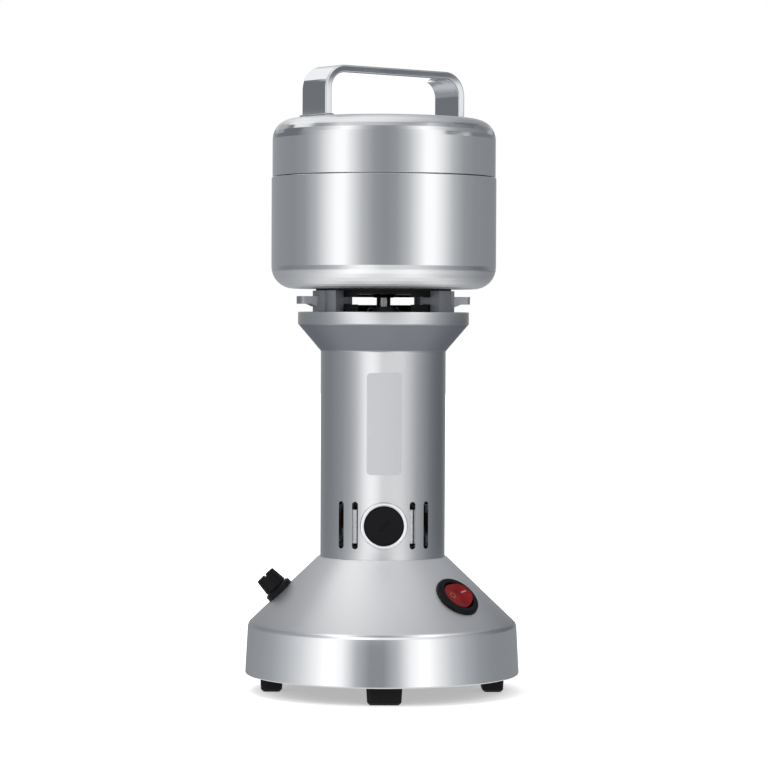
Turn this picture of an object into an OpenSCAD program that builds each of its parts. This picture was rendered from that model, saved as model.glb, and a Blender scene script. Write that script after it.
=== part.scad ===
// Electric grain mill: a motor column on a conical base, carrying a stainless grinding bowl
// with a twist-off lid. +Z is up, the mill stands on Z = 0 and its motor axis is the Z axis.
// The front (name plate, brush cap) faces -Y.

/* [Base] */
// Diameter of the base at its foot
base_d = 137; // [128:1:150]
// Height of the rubber feet below the skirt
foot_h = 9; // [7:0.5:14]
// Height of the upright skirt
skirt_h = 25; // [20:1:34]
// Height of the cone above the skirt
cone_h = 33.5; // [31:0.5:40]
// Wall of the spun aluminium base
base_wall = 2.5; // [2:0.1:3.5]

/* [Motor column] */
// Outer diameter of the motor housing
column_d = 62.4; // [60:0.2:66]
// Straight length of the housing above the base
column_h = 102.5; // [98:0.5:115]
// Wall of the motor housing
column_wall = 2.2; // [1.8:0.1:2.6]
// Diameter of the housing's top flange
flange_d = 85.4; // [84:0.2:92]
// Height of the flare under the flange
flare_h = 13.5; // [11:0.5:18]
// Height of the flange's rim
rim_h = 6; // [5:0.5:9]

/* [Neck] */
// Height of the open neck frame above the flange
neck_h = 10.5; // [9.5:0.5:14]
// Turn of the neck frame about the motor axis, in degrees
neck_turn = 4; // [0:1:20]
// Thickness of the rubber gasket under the bowl
gasket_t = 1; // [0.6:0.1:2]

/* [Bowl] */
// Outer diameter of the grinding bowl
bowl_d = 112.2; // [111:0.2:124]
// Height of the bowl up to the lid's seam
bowl_h = 55.3; // [50:0.5:70]
// Wall of the bowl
bowl_wall = 2.6; // [2:0.1:3.4]
// Radius of the bowl's lower edge
bowl_fillet = 11; // [8:0.5:14]

/* [Lid] */
// Step in from the bowl's wall to the lid's
lid_step = 0.4; // [0:0.1:1.5]
// Height of the lid above the seam
lid_h = 28.7; // [27:0.1:40]
// Wall of the lid
lid_wall = 1.5; // [1:0.1:2]
// Radius of the lid's upper edge
lid_fillet = 10; // [6:0.5:11]

/* [Handle] */
// Overall span of the strap handle
handle_span = 88; // [76:1:90]
// Width of the strap
handle_w = 19.5; // [14:0.5:22]
// Thickness of the strap
handle_t = 3.8; // [2.5:0.1:4.5]
// Height of the handle above the lid
handle_h = 25.2; // [20:0.1:36]
// Turn of the handle about the motor axis, in degrees
handle_turn = 37; // [0:1:60]

/* [Switch and fuse] */
// Diameter of the round rocker switch
switch_d = 23; // [21:0.5:25]
// Direction of the switch from the front, in degrees
switch_turn = 45.5; // [35:0.5:60]
// Diameter of the fuse holder's flange
fuse_d = 14.8; // [13.6:0.2:17]
// Direction of the fuse holder from the front, in degrees
fuse_turn = -90; // [-110:1:-80]

/* [Hidden] */
$fn = 96;
hull_fn = 32;
hex_sides = 6;
// One overrun for every cut, and the fits that all pieces share
cut = 1;
fit_gap = 0.05;
run_gap = 0.3;
screw_gap = 0.2;
shaft_gap = 0.5;
full_turn = 360;
half_turn = 180;
quarter_turn = 90;
hex_half_turn = half_turn / hex_sides;
half_share = 0.5;
arc_steps = 8;

// Heights of the stack, from the floor up
z_skirt = foot_h;
z_cone = z_skirt + skirt_h;
z_deck = z_cone + cone_h;
column_recess = 1;
z_column = z_deck - column_recess;
z_flare = z_deck + column_h;
z_rim = z_flare + flare_h;
z_mouth = z_rim + rim_h;
z_frame_top = z_mouth + neck_h;
z_bowl = z_frame_top + gasket_t;
z_seam = z_bowl + bowl_h;
seam_gap = 0.3;
z_lid = z_seam + seam_gap;
z_lid_top = z_lid + lid_h;

// Base shell
base_r = base_d / 2;
skirt_draft = 1.3;
skirt_r = base_r - skirt_draft;
skirt_edge = 0.8;
cone_corner = 4;
column_r = column_d / 2;
recess_gap = 0.2;
land_w = 0.7;
land_edge = 0.3;
recess_r = column_r + recess_gap;
cone_top_r = recess_r + land_w;
deck_t = 4;
deck_hole_r = 15;
cone_angle = atan((skirt_r - cone_top_r) / cone_h);
cone_wall = base_wall / cos(cone_angle);
boss_r = 4.6;
boss_rise = 14;
boss_rib_w = 3;

// Bottom plate, feet and their screws
plate_recess = 1;
plate_t = 1.5;
plate_gap = 0.4;
z_plate = z_skirt + plate_recess;
z_plate_top = z_plate + plate_t;
plate_r = base_r - base_wall - plate_gap;
foot_inset = 13.3;
foot_ring_r = base_r - foot_inset;
foot_len = 17.6;
foot_w = 11.5;
foot_corner = 3;
foot_taper = 0.5;
foot_edge = 1.2;
foot_count = 4;
foot_screw_r = 1.9;
foot_head_r = 3.5;
foot_head_h = 2.4;
foot_head_depth = 5;
foot_screw_grip = 8;
plate_vent_count = 12;
plate_vent_w = 3.2;
plate_vent_in = 22;
plate_vent_out = 40;

// Screws that hold the column to the deck
column_screw_count = 3;
column_screw_ring = 20;
column_screw_r = 1.9;
column_head_r = 3.4;
column_head_h = 2.2;
column_screw_grip = 5;

// Round rocker switch, in its own frame on the cone
switch_r = switch_d / 2;
switch_rise = 16;
z_switch = z_cone + switch_rise;
bezel_t = 2.8;
bezel_edge = 1.3;
barrel_inset = 1.6;
barrel_len = 14;
barrel_wall = 1.6;
barrel_floor = 1.5;
rocker_gap = 0.9;
rocker_rise = 3.6;
rocker_pin_drop = 1;
rocker_top = rocker_rise + rocker_pin_drop;
rocker_dip = 1.4;
rocker_depth = 2.5;
rocker_keel = 2.6;
rocker_foot = rocker_depth + rocker_keel;
rocker_keel_w = 3;
rocker_pin_r = 1;
rocker_pin_gap = 0.06;
rocker_pin_bite = 0.8;
rocker_angle = 9;
terminal_count = 3;
terminal_pitch = 5;
terminal_w = 4.8;
terminal_t = 0.8;
terminal_len = 8;
barrel_r = switch_r - barrel_inset;
bore_in_barrel_r = barrel_r - barrel_wall;
rocker_r = bore_in_barrel_r - rocker_gap;
rocker_pin_len = 2 * (bore_in_barrel_r + rocker_pin_bite);

// Fuse holder, in its own frame on the cone
fuse_r = fuse_d / 2;
fuse_rise = 15.5;
z_fuse = z_cone + fuse_rise;
fuse_flange_t = 2.6;
fuse_flare_t = 0.8;
fuse_collar = fuse_flange_t + fuse_flare_t;
fuse_neck_inset = 1.1;
fuse_neck_r = fuse_r - fuse_neck_inset;
fuse_barrel_r = 5.6;
fuse_barrel_floor = 1.5;
fuse_bore_r = 4.5;
fuse_nut_af = 14;
fuse_nut_t = 3;
fuse_cap_len = 8.1;
fuse_cap_r = 6.1;
fuse_cap_end_r = 5.25;
fuse_cap_edge = 0.6;
fuse_flute_r = 1.5;
fuse_flute_count = 8;
fuse_flute_bite = 0.55;
fuse_plug_r = 4.2;
fuse_plug_len = 6;
fuse_slot_w = 1.2;
fuse_slot_depth = 1;
fuse_link_r = 2.6;
fuse_link_len = 20;
fuse_link_hold = 4;
fuse_link_cap_len = 4.5;
fuse_glass_inset = 0.3;
fuse_barrel_len = fuse_link_len - fuse_link_hold + fuse_plug_len - fuse_collar + fuse_barrel_floor;

// Cord gland, in its own frame on the cone
gland_turn = 180;
gland_rise = 12;
z_gland = z_cone + gland_rise;
gland_r = 8;
gland_t = 2.6;
gland_edge = 1;
gland_neck_r = 5.9;
gland_back_r = 7;
gland_back_t = 2;
gland_bore_r = 3.3;

// Motor housing
flange_r = flange_d / 2;
bore_r = column_r - column_wall;
frame_plate_t = 4;
z_seat = z_mouth - frame_plate_t;
mouth_wall = 4.3;
mouth_r = flange_r - mouth_wall;
shoulder_w = 1.9;
shoulder_r = mouth_r - shoulder_w;
rim_edge = 0.5;
flare_edge = 1.5;
lip_t = 2;
lip_w = 3;
lip_r = bore_r - lip_w;
flare_slope = flare_h / (flange_r - column_r);
neck_screw_ring = 33;
neck_screw_turn = 30;
neck_boss_r = 3.6;
neck_boss_h = 9;
neck_screw_r = 1.5;
neck_head_r = 2.8;
neck_head_h = 1.7;
neck_screw_grip = 7;
z_boss = z_seat - neck_boss_h;

// Vent slots: two pairs beside the front brush cap, and two pairs at the rear sides
front_vent_turns = [27, 42];
rear_vent_turns = [60, 76];
vent_w = 3.2;
vent_h = 23.4;
brush_rise = 17;
z_brush = z_deck + brush_rise;

// Name plate on the front of the housing
name_w = 17.2;
name_h = 50;
name_t = 0.5;
name_corner = 2;
name_rise = 42;

// Brush gear, along the front-to-rear line
ring_r = 11.6;
ring_w = 1.9;
ring_proud = 1.2;
ring_depth = 6;
ring_edge = 0.6;
cap_gap = 0.2;
cap_r = ring_r - ring_w - cap_gap;
cap_sunk = 0.6;
cap_t = 4;
cap_edge = 0.4;
cap_slot_len = 7;
cap_slot_w = 1.6;
cap_slot_depth = 0.9;
cap_slot_turn = -42;
holder_depth = 4;
holder_box_w = 8.4;
holder_box_h = 11.6;
brush_w = 5.2;
brush_h = 8.4;
brush_len = 12;
brush_gap = 0.1;
spring_r = 2;
spring_wire_r = 0.3;
spring_turns = 5;
spring_sides = 6;
spring_steps = 8;
commutator_r = 11;
commutator_gap = 0.3;
ring_face = column_r + ring_proud;
ring_back = ring_face - ring_depth;
cap_face = ring_face - cap_sunk;
cap_back = cap_face - cap_t;
brush_tip = commutator_r + commutator_gap;
brush_tail = brush_tip + brush_len;
holder_tip = brush_tip + 2 * run_gap;

// Bearings, 7 x 19 x 6
shaft_r = 3.5;
bearing_r = 9.5;
bearing_w = 6;
race_w = 1.6;
ball_r = 1.98;
ball_gap = 0.03;
ball_count = 7;
ball_ring_r = (shaft_r + bearing_r) / 2;
race_relief = 0.5;
relief_r = bearing_r - race_w;

// Lower bracket
bracket_t = 4;
bracket_hub_w = 2.5;
bracket_pad_r = 4;
bracket_floor = 1.5;
window_in = 13.5;
window_out = 25;
window_angle = 56;
z_bracket = z_column + lip_t;
z_low_bearing = z_bracket + bracket_floor;

// Motor: stator, armature, commutator and fan
commutator_h = 13;
z_commutator = z_brush - commutator_h * half_share;
commutator_bars = 22;
slit_w = 0.5;
slit_depth = 1.2;
riser_h = 1.6;
riser_w = 1.2;
winding_drop = 5;
stack_drop = 6.5;
stack_h = 40;
stack_r = 15.1;
air_gap = 0.5;
stack_slots = 12;
slot_w = 2.2;
slot_depth = 6.5;
slot_lip = 0.6;
winding_r = 13.2;
winding_in = 5.5;
winding_edge = 2;
coil_in = 17;
coil_out = 24;
coil_inner_angle = 50;
coil_outer_angle = 66;
coil_play_angle = 0.8;
coil_slot_angle = coil_outer_angle - coil_inner_angle + coil_play_angle;
coil_over = 5;
coil_gap = 0.4;
z_winding = z_brush + commutator_h * half_share + winding_drop - riser_h;
z_stack = z_winding + stack_drop;
z_stack_top = z_stack + stack_h;
z_winding_top = z_stack_top + stack_drop;
fan_lift = 4;
fan_gap = 1.6;
fan_r = bore_r - fan_gap;
fan_hub_r = 7;
fan_disc_t = 1.5;
fan_h = 11;
fan_blades = 11;
fan_blade_t = 1.1;
fan_blade_angle = 24;
z_fan = z_winding_top + fan_lift;

// Neck frame
hub_wall = 2.5;
frame_hub_r = bearing_r + hub_wall;
hub_floor = 2;
z_high_bearing_top = z_mouth - hub_floor;
z_high_bearing = z_high_bearing_top - bearing_w;
nose_r = 8.5;
nose_tip_r = 6.8;
nose_h = 2.6;
wall_in = 22.5;
wall_out = 34.2;
wall_angle = 83;
pillar_in = 29.5;
pillar_out = 35.4;
pillar_angle = 45;
pillar_turn = 7;
ear_out = 43.4;
ear_w = 13;
ear_t = 3.8;
ear_corner = 2.5;
ear_lift = 3.9;
gusset_h = 1.3;
gusset_len = 3;
z_ear = z_mouth + ear_lift;
air_in = 14;
air_out = 24;
air_angle = 30;
plate_fit = 0.2;

// Black rubber dust ring round the bearing nose, and the seal carrier above it
dust_ring_r = 28.4;
dust_ring_in = 24.5;
dust_ring_h = 3.6;
notch_w = 26;
carrier_r = dust_ring_r;
carrier_in = dust_ring_in;
carrier_h = 1.8;
carrier_skirt = 1.2;
carrier_nose_r = 6.8;
carrier_nose_tip_r = 4.8;
carrier_nose_h = 1.6;
z_carrier = z_frame_top - carrier_h;

// Bowl, its collar and its screws
bowl_r = bowl_d / 2;
bowl_floor = 4.5;
z_floor = z_bowl + bowl_floor;
bowl_in_r = bowl_r - bowl_wall;
bowl_lip = 0.4;
seal_r = 8;
seal_h = 5;
seal_lip = 0.5;
seal_run = 0.08;
lip_run_r = shaft_r + seal_run;
hub_over_seal = 3;
bowl_hub_r = seal_r + hub_over_seal;
bowl_hub_h = 5.5;
hub_edge = 1;
bowl_hole_r = 5;
bowl_screw_ring = 31.4;
bowl_screw_turn = 20;
bowl_screw_r = 1.5;
bowl_head_r = 2.9;
bowl_head_h = 1.9;
bowl_screw_grip = 6;
gasket_inset = 0.4;
collar_band = 4.5;
collar_in_r = bowl_in_r - collar_band;
collar_wall = 2.2;
collar_drop = 8;
collar_rise = 8;
collar_edge = 0.5;
collar_r = collar_in_r + collar_wall;
lug_count = 3;
lug_reach = 1.7;
lug_angle = 34;
lug_h = 3;
lug_lift = 3.5;
lug_turn = -45;
stop_angle = 3;
stop_play_angle = 0.5;
stop_reach = 1.3;
z_collar_top = z_seam + collar_rise;

// Lid, its liner, gasket and lugs
lid_r = bowl_r - lid_step;
liner_wall = 0.95;
liner_t = 1;
liner_lift = 0.6;
lid_lug_h = 2.4;
lid_lug_angle = 28;
gasket_w = 3;
gasket_h = 2;
gasket_lap = 0.1;
liner_r = lid_r - lid_wall - fit_gap;
liner_in_r = liner_r - liner_wall;
z_liner = z_lid + liner_lift;
z_gasket = z_collar_top + gasket_lap;
z_liner_plate = z_gasket + gasket_h + gasket_lap;
lid_lug_in_r = collar_r + run_gap;

// Handle
handle_bend = 12;

// Shaft and blade stack inside the bowl
z_shaft = z_low_bearing;
flinger_r = 5.6;
flinger_t = 1.5;
blade_lift = 1;
z_flinger = z_floor + bowl_hub_h + blade_lift;
blade_clear = 4;
low_blade_r = collar_in_r - blade_clear;
low_blade_root = 16;
low_blade_tip = 10;
low_blade_t = 2.5;
low_blade_turn = 20;
top_blade_share = 0.8;
top_blade_r = low_blade_r * top_blade_share;
top_blade_root = 13;
top_blade_tip = 8;
top_blade_t = 1.5;
top_blade_angle = 14;
top_blade_turn = 110;
blade_hub_r = 9;
blade_bevel = 3;
spacer_r = 6;
spacer_h = 5;
washer_r = 6.5;
washer_t = 1.2;
nut_af = 10;
nut_h = 5;
nut_dome_r = 4.2;
z_low_blade = z_flinger + flinger_t;
z_spacer = z_low_blade + low_blade_t;
z_top_blade = z_spacer + spacer_h;
z_washer = z_top_blade + top_blade_t;
z_nut = z_washer + washer_t;
stud_r = 3;
stud_in_nut = 4;
z_shaft_top = z_nut + stud_in_nut;

// Unit vector along v
function unit(v) = v / norm(v);

// Points of an arc of radius r that rounds the corner b between a and c
function corner(a, b, c, r) =
    r <= 0 ? [b] :
    let (u = unit(a - b), w = unit(c - b))
    let (half = acos(max(-1, min(1, u * w))) / 2)
    let (middle = b + unit(u + w) * r / sin(half))
    let (p = b + u * r / tan(half) - middle, q = b + w * r / tan(half) - middle)
    let (start = atan2(p.y, p.x), sweep = atan2(q.y, q.x) - start)
    let (turn = sweep > half_turn ? sweep - full_turn : sweep < -half_turn ? sweep + full_turn : sweep)
    [for (i = [0:arc_steps]) let (a = start + turn * i / arc_steps) middle + r * [cos(a), sin(a)]];

// A closed outline from points [x, y, corner radius]
function rounded(points) =
    let (n = len(points), flat = [for (p = points) [p[0], p[1]]])
    [for (i = [0:n - 1]) each corner(flat[(i + n - 1) % n], flat[i], flat[(i + 1) % n], points[i][2])];

// A turned piece from its half outline
module turned(points) rotate_extrude() polygon(rounded(points));

// The children raised by z
module up(z) translate([0, 0, z]) children();

// A ring between two radii
module ring(inner, outer, h) difference() {
    cylinder(h = h, r = outer);
    up(-cut) cylinder(h = h + 2 * cut, r = inner);
}

// A piece of a ring, centred on +X
module sector(inner, outer, h, angle)
    rotate([0, 0, -angle / 2])
        rotate_extrude(angle = angle) translate([inner, 0]) square([outer - inner, h]);

// Copies of the children, evenly spaced about Z
module around(count, start = 0)
    for (i = [0:count - 1]) rotate([0, 0, start + i * full_turn / count]) children();

// The children in a frame on the cone: its origin on the surface at height z, its Z outwards
module on_cone(turn, z)
    rotate([0, 0, turn]) translate([0, -cone_r(z), z]) rotate([quarter_turn - cone_angle, 0, 0]) children();

// The children in a frame at the brush height, its Z pointing out through the front or rear
module on_brush_line(turn)
    rotate([0, 0, turn]) up(z_brush) rotate([quarter_turn, 0, 0]) children();

// A bar with round ends, centred on the origin and standing along Y
module rounded_slot(len, w, h) {
    translate([-w / 2, -(len - w) / 2, 0]) cube([w, len - w, h]);
    for (side = [-1, 1]) translate([0, side * (len - w) / 2, 0]) cylinder(h = h, r = w / 2);
}

// A plain machine screw: head below the origin, shank along +Z
module screw(head_r, head_h, shank_r, length) {
    up(-head_h) difference() {
        cylinder(h = head_h, r = head_r);
        up(-cut) cylinder(h = cut + head_h / 2, r = head_r / 2, $fn = hex_sides);
    }
    cylinder(h = length, r = shank_r);
}

// Radius of the cone's outside at height z, and how far a flat of radius r cuts into it there
function cone_r(z) = skirt_r - (z - z_cone) * tan(cone_angle);
function flat_depth(z, r, inset = 0) =
    let (bend = cone_r(z) / cos(cone_angle) - inset) bend - sqrt(bend * bend - r * r);
switch_seat = -flat_depth(z_switch, switch_r);
fuse_seat = -flat_depth(z_fuse, fuse_r);
z_cap = fuse_seat + fuse_collar + run_gap;
gland_seat = -flat_depth(z_gland, gland_r);
nut_r = fuse_nut_af / 2 / cos(hex_half_turn);
nut_seat = -base_wall - flat_depth(z_fuse, nut_r, base_wall);
gland_back = base_wall + flat_depth(z_gland, gland_back_r, base_wall) + gland_seat;

// A flat spot-faced seat in the cone, with its through hole
module cone_seat(turn, z, seat, face_r, hole_r) on_cone(turn, z) up(seat) {
    cylinder(h = 2 * cone_wall, r = face_r);
    up(-2 * cone_wall) cylinder(h = 3 * cone_wall, r = hole_r);
}

module base_shell() color("silver") difference() {
    z_corner = z_cone - base_wall * (1 / cos(cone_angle) - 1) / tan(cone_angle);
    z_deck_low = z_column - deck_t;
    union() {
        turned([
            [base_r, z_skirt, skirt_edge], [skirt_r, z_cone, cone_corner], [cone_top_r, z_deck, land_edge],
            [recess_r, z_deck, 0], [recess_r, z_column, 0], [deck_hole_r, z_column, 0],
            [deck_hole_r, z_deck_low, 0], [cone_r(z_deck_low) - cone_wall, z_deck_low, 0],
            [skirt_r - base_wall, z_corner, 0], [base_r - base_wall, z_skirt, 0]]);
        around(foot_count) {
            translate([0, -foot_ring_r, z_plate_top]) cylinder(h = boss_rise, r = boss_r);
            translate([-boss_rib_w / 2, -skirt_r + base_wall / 2, z_plate_top])
                cube([boss_rib_w, skirt_r - base_wall / 2 - foot_ring_r, boss_rise]);
        }
    }
    around(foot_count) translate([0, -foot_ring_r, z_skirt - cut])
        cylinder(h = cut + plate_recess + plate_t + foot_screw_grip, r = foot_screw_r + fit_gap);
    around(column_screw_count) translate([0, -column_screw_ring, z_column - deck_t - cut])
        cylinder(h = deck_t + 2 * cut, r = column_screw_r + screw_gap);
    cone_seat(switch_turn, z_switch, switch_seat, switch_r + recess_gap, barrel_r + recess_gap);
    cone_seat(fuse_turn, z_fuse, fuse_seat, fuse_r + recess_gap, fuse_barrel_r + recess_gap);
    cone_seat(gland_turn, z_gland, gland_seat, gland_r + recess_gap, gland_neck_r + fit_gap);
}

module bottom_plate() color("dimgray") difference() {
    up(z_plate) cylinder(h = plate_t, r = plate_r);
    around(plate_vent_count, half_turn / plate_vent_count)
        translate([0, -(plate_vent_in + plate_vent_out) / 2, z_plate - cut])
            rounded_slot(plate_vent_out - plate_vent_in, plate_vent_w, plate_t + 2 * cut);
    around(foot_count) translate([0, -foot_ring_r, z_plate - cut])
        cylinder(h = plate_t + 2 * cut, r = foot_screw_r + screw_gap);
}

module foot(turn) color("black") rotate([0, 0, turn]) translate([0, -foot_ring_r, 0]) difference() {
    hull() for (x = [-1, 1], y = [-1, 1])
        translate([x * (foot_len / 2 - foot_corner), y * (foot_w / 2 - foot_corner), 0]) {
            cylinder(h = foot_edge, r = foot_corner - foot_taper - foot_edge, $fn = hull_fn);
            up(foot_edge) cylinder(h = z_plate - foot_edge,
                r1 = foot_corner - foot_taper, r2 = foot_corner, $fn = hull_fn);
        }
    up(-cut) cylinder(h = cut + foot_head_depth, r = foot_head_r + run_gap);
    cylinder(h = z_plate + cut, r = foot_screw_r + screw_gap);
}

module foot_screws() color("silver") around(foot_count)
    translate([0, -foot_ring_r, foot_head_depth])
        screw(foot_head_r, foot_head_h, foot_screw_r, z_plate_top + foot_screw_grip - foot_head_depth);

module column_screws() color("silver") around(column_screw_count)
    translate([0, -column_screw_ring, z_column - deck_t])
        screw(column_head_r, column_head_h, column_screw_r, deck_t + column_screw_grip);

module switch_housing() color("black") on_cone(switch_turn, z_switch) up(switch_seat) difference() {
    turned([
        [bore_in_barrel_r, bezel_t, bezel_edge / 2], [switch_r, bezel_t, bezel_edge], [switch_r, 0, 0],
        [barrel_r, 0, 0], [barrel_r, -barrel_len, 0], [0, -barrel_len, 0],
        [0, barrel_floor - barrel_len, 0], [bore_in_barrel_r, barrel_floor - barrel_len, 0]]);
    up(-rocker_pin_drop) rotate([quarter_turn, 0, 0])
        cylinder(h = rocker_pin_len + 2 * fit_gap, r = rocker_pin_r + rocker_pin_gap, center = true);
    terminal_places() up(-barrel_len - cut) cube([terminal_t, terminal_w, cut + barrel_floor]);
}

module switch_terminals() color("gold") on_cone(switch_turn, z_switch) up(switch_seat)
    terminal_places() up(-barrel_len - terminal_len)
        cube([terminal_t, terminal_w, terminal_len + barrel_floor]);

// The lower corner of each blade terminal, in a row across the switch
module terminal_places() for (i = [0:terminal_count - 1]) {
    place = (i - (terminal_count - 1) / 2) * terminal_pitch;
    translate([place - terminal_t / 2, -terminal_w / 2, 0]) children();
}

module switch_rocker() color("red") on_cone(switch_turn, z_switch) up(switch_seat - rocker_pin_drop)
    rotate([0, -rocker_angle, 0]) {
        intersection() {
            up(-rocker_foot) cylinder(h = rocker_foot + rocker_top + cut, r = rocker_r);
            translate([0, rocker_r, 0]) rotate([quarter_turn, 0, 0])
                linear_extrude(height = 2 * rocker_r) polygon([
                    [-rocker_r, rocker_top], [0, rocker_top - rocker_dip], [rocker_r, rocker_top],
                    [rocker_r, -rocker_depth], [rocker_keel_w, -rocker_foot],
                    [-rocker_keel_w, -rocker_foot], [-rocker_r, -rocker_depth]]);
        }
        rotate([quarter_turn, 0, 0]) cylinder(h = rocker_pin_len, r = rocker_pin_r, center = true);
    }

module fuse_holder() color("black") on_cone(fuse_turn, z_fuse) up(fuse_seat) turned([
    [fuse_bore_r, fuse_collar, 0], [fuse_neck_r, fuse_collar, land_edge],
    [fuse_r, fuse_flange_t, fuse_flare_t / 2], [fuse_r, 0, 0], [fuse_barrel_r, 0, 0],
    [fuse_barrel_r, -fuse_barrel_len, 0], [0, -fuse_barrel_len, 0],
    [0, fuse_barrel_floor - fuse_barrel_len, 0], [fuse_bore_r, fuse_barrel_floor - fuse_barrel_len, 0]]);

module fuse_nut() color("silver") on_cone(fuse_turn, z_fuse) up(nut_seat - fuse_nut_t) difference() {
    cylinder(h = fuse_nut_t, r = nut_r, $fn = hex_sides);
    up(-cut) cylinder(h = fuse_nut_t + 2 * cut, r = fuse_barrel_r + fit_gap);
}

// Screw cap with a hollow plug that grips the fuse, fluted sides and a coin slot
module fuse_cap() color("black") on_cone(fuse_turn, z_fuse) up(z_cap) difference() {
    lean = atan((fuse_cap_r - fuse_cap_end_r) / fuse_cap_len);
    union() {
        turned([
            [0, 0, 0], [fuse_cap_r, 0, land_edge],
            [fuse_cap_end_r, fuse_cap_len, fuse_cap_edge], [0, fuse_cap_len, 0]]);
        up(-fuse_plug_len) cylinder(h = fuse_plug_len + cut, r = fuse_plug_r);
    }
    around(fuse_flute_count) translate([fuse_cap_r + fuse_flute_r - fuse_flute_bite, 0, 0])
        rotate([0, -lean, 0]) up(fuse_cap_edge) cylinder(h = 2 * fuse_cap_len, r = fuse_flute_r);
    translate([-fuse_cap_r, -fuse_slot_w / 2, fuse_cap_len - fuse_slot_depth])
        cube([2 * fuse_cap_r, fuse_slot_w, cut + fuse_slot_depth]);
    up(-fuse_plug_len - cut) cylinder(h = cut + fuse_link_hold + run_gap, r = fuse_link_r + cap_gap);
}

// Glass tube between two metal end caps
module fuse_link() color("lightgray") on_cone(fuse_turn, z_fuse)
    up(z_cap - fuse_plug_len + fuse_link_hold - fuse_link_len) {
        cylinder(h = fuse_link_cap_len, r = fuse_link_r);
        up(fuse_link_cap_len)
            cylinder(h = fuse_link_len - 2 * fuse_link_cap_len, r = fuse_link_r - fuse_glass_inset);
        up(fuse_link_len - fuse_link_cap_len) cylinder(h = fuse_link_cap_len, r = fuse_link_r);
    }

module cord_gland() color("black") on_cone(gland_turn, z_gland) up(gland_seat) turned([
    [gland_bore_r, gland_t, land_edge], [gland_r, gland_t, gland_edge],
    [gland_r, 0, 0], [gland_neck_r, 0, 0],
    [gland_neck_r, -gland_back, 0], [gland_back_r, -gland_back, 0],
    [gland_neck_r, -gland_back - gland_back_t, 0], [gland_bore_r, -gland_back - gland_back_t, 0]]);

module motor_housing() color("silver") difference() {
    z_inner_flare = z_flare + (shoulder_r - bore_r) * flare_slope;
    union() {
        turned([
            [column_r, z_column, 0], [column_r, z_flare, flare_edge], [flange_r, z_rim, rim_edge],
            [flange_r, z_mouth, rim_edge], [mouth_r, z_mouth, 0], [mouth_r, z_seat, 0],
            [shoulder_r, z_seat, 0], [shoulder_r, z_inner_flare, 0], [bore_r, z_flare, 0],
            [bore_r, z_column + lip_t, 0], [lip_r, z_column + lip_t, 0], [lip_r, z_column, 0]]);
        intersection() {
            up(z_boss)
                cylinder(h = neck_boss_h, r1 = bore_r + neck_boss_r, r2 = shoulder_r + neck_boss_r / 2);
            neck_screw_places() up(z_boss) cylinder(h = neck_boss_h, r = neck_boss_r);
        }
    }
    neck_screw_places() up(z_seat - neck_screw_grip - run_gap)
        cylinder(h = neck_screw_grip + run_gap + cut, r = neck_screw_r + fit_gap);
    for (turn = front_vent_turns, side = [-1, 1]) vent(side * turn);
    for (turn = rear_vent_turns, side = [-1, 1]) vent(half_turn + side * turn);
    for (face = [0, half_turn]) on_brush_line(face) cylinder(h = column_r + cut, r = ring_r + fit_gap);
}

module vent(turn) rotate([0, 0, turn]) translate([0, -column_r - cut, z_brush])
    rotate([-quarter_turn, 0, 0]) rounded_slot(vent_h, vent_w, column_wall + 2 * cut + vent_w);

// The places of the screws between the neck frame and the housing, in the neck's windows
module neck_screw_places() for (face = [0, half_turn], side = [-1, 1])
    rotate([0, 0, neck_turn + face + side * neck_screw_turn]) translate([0, -neck_screw_ring, 0]) children();

module neck_screws() color("silver") neck_screw_places() up(z_mouth - neck_head_h) mirror([0, 0, 1])
    screw(neck_head_r, neck_head_h, neck_screw_r, frame_plate_t - neck_head_h + neck_screw_grip);

module name_plate() color("lightgray") intersection() {
    up(z_deck + name_rise) ring(column_r + fit_gap, column_r + fit_gap + name_t, name_h);
    translate([0, -column_r + name_w / 2, z_deck + name_rise + name_h / 2]) rotate([quarter_turn, 0, 0])
        linear_extrude(height = name_w) polygon(rounded([
            [-name_w / 2, -name_h / 2, name_corner], [name_w / 2, -name_h / 2, name_corner],
            [name_w / 2, name_h / 2, name_corner], [-name_w / 2, name_h / 2, name_corner]]));
}

module brush_ring(face) color("white") on_brush_line(face) turned([
    [ring_r - ring_w, ring_back, 0], [ring_r, ring_back, 0],
    [ring_r, ring_face, ring_edge], [ring_r - ring_w, ring_face, ring_edge]]);

module brush_cap(face) color("black") on_brush_line(face) difference() {
    turned([[0, cap_back, 0], [cap_r, cap_back, 0], [cap_r, cap_face, cap_edge], [0, cap_face, 0]]);
    rotate([0, 0, cap_slot_turn]) up(cap_face - cap_slot_depth)
        rounded_slot(cap_slot_len, cap_slot_w, cap_slot_depth + cut);
}

module brush_holder(face) color("saddlebrown") on_brush_line(face) difference() {
    union() {
        up(cap_back - fit_gap - holder_depth) cylinder(h = holder_depth, r = cap_r);
        translate([-holder_box_w / 2, -holder_box_h / 2, holder_tip])
            cube([holder_box_w, holder_box_h, cap_back - holder_tip - holder_depth]);
    }
    translate([-brush_w / 2 - brush_gap, -brush_h / 2 - brush_gap, 0])
        cube([brush_w + 2 * brush_gap, brush_h + 2 * brush_gap, column_r]);
}

module carbon_brush(face) color("dimgray") on_brush_line(face)
    translate([-brush_w / 2, -brush_h / 2, brush_tip]) cube([brush_w, brush_h, brush_len]);

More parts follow.
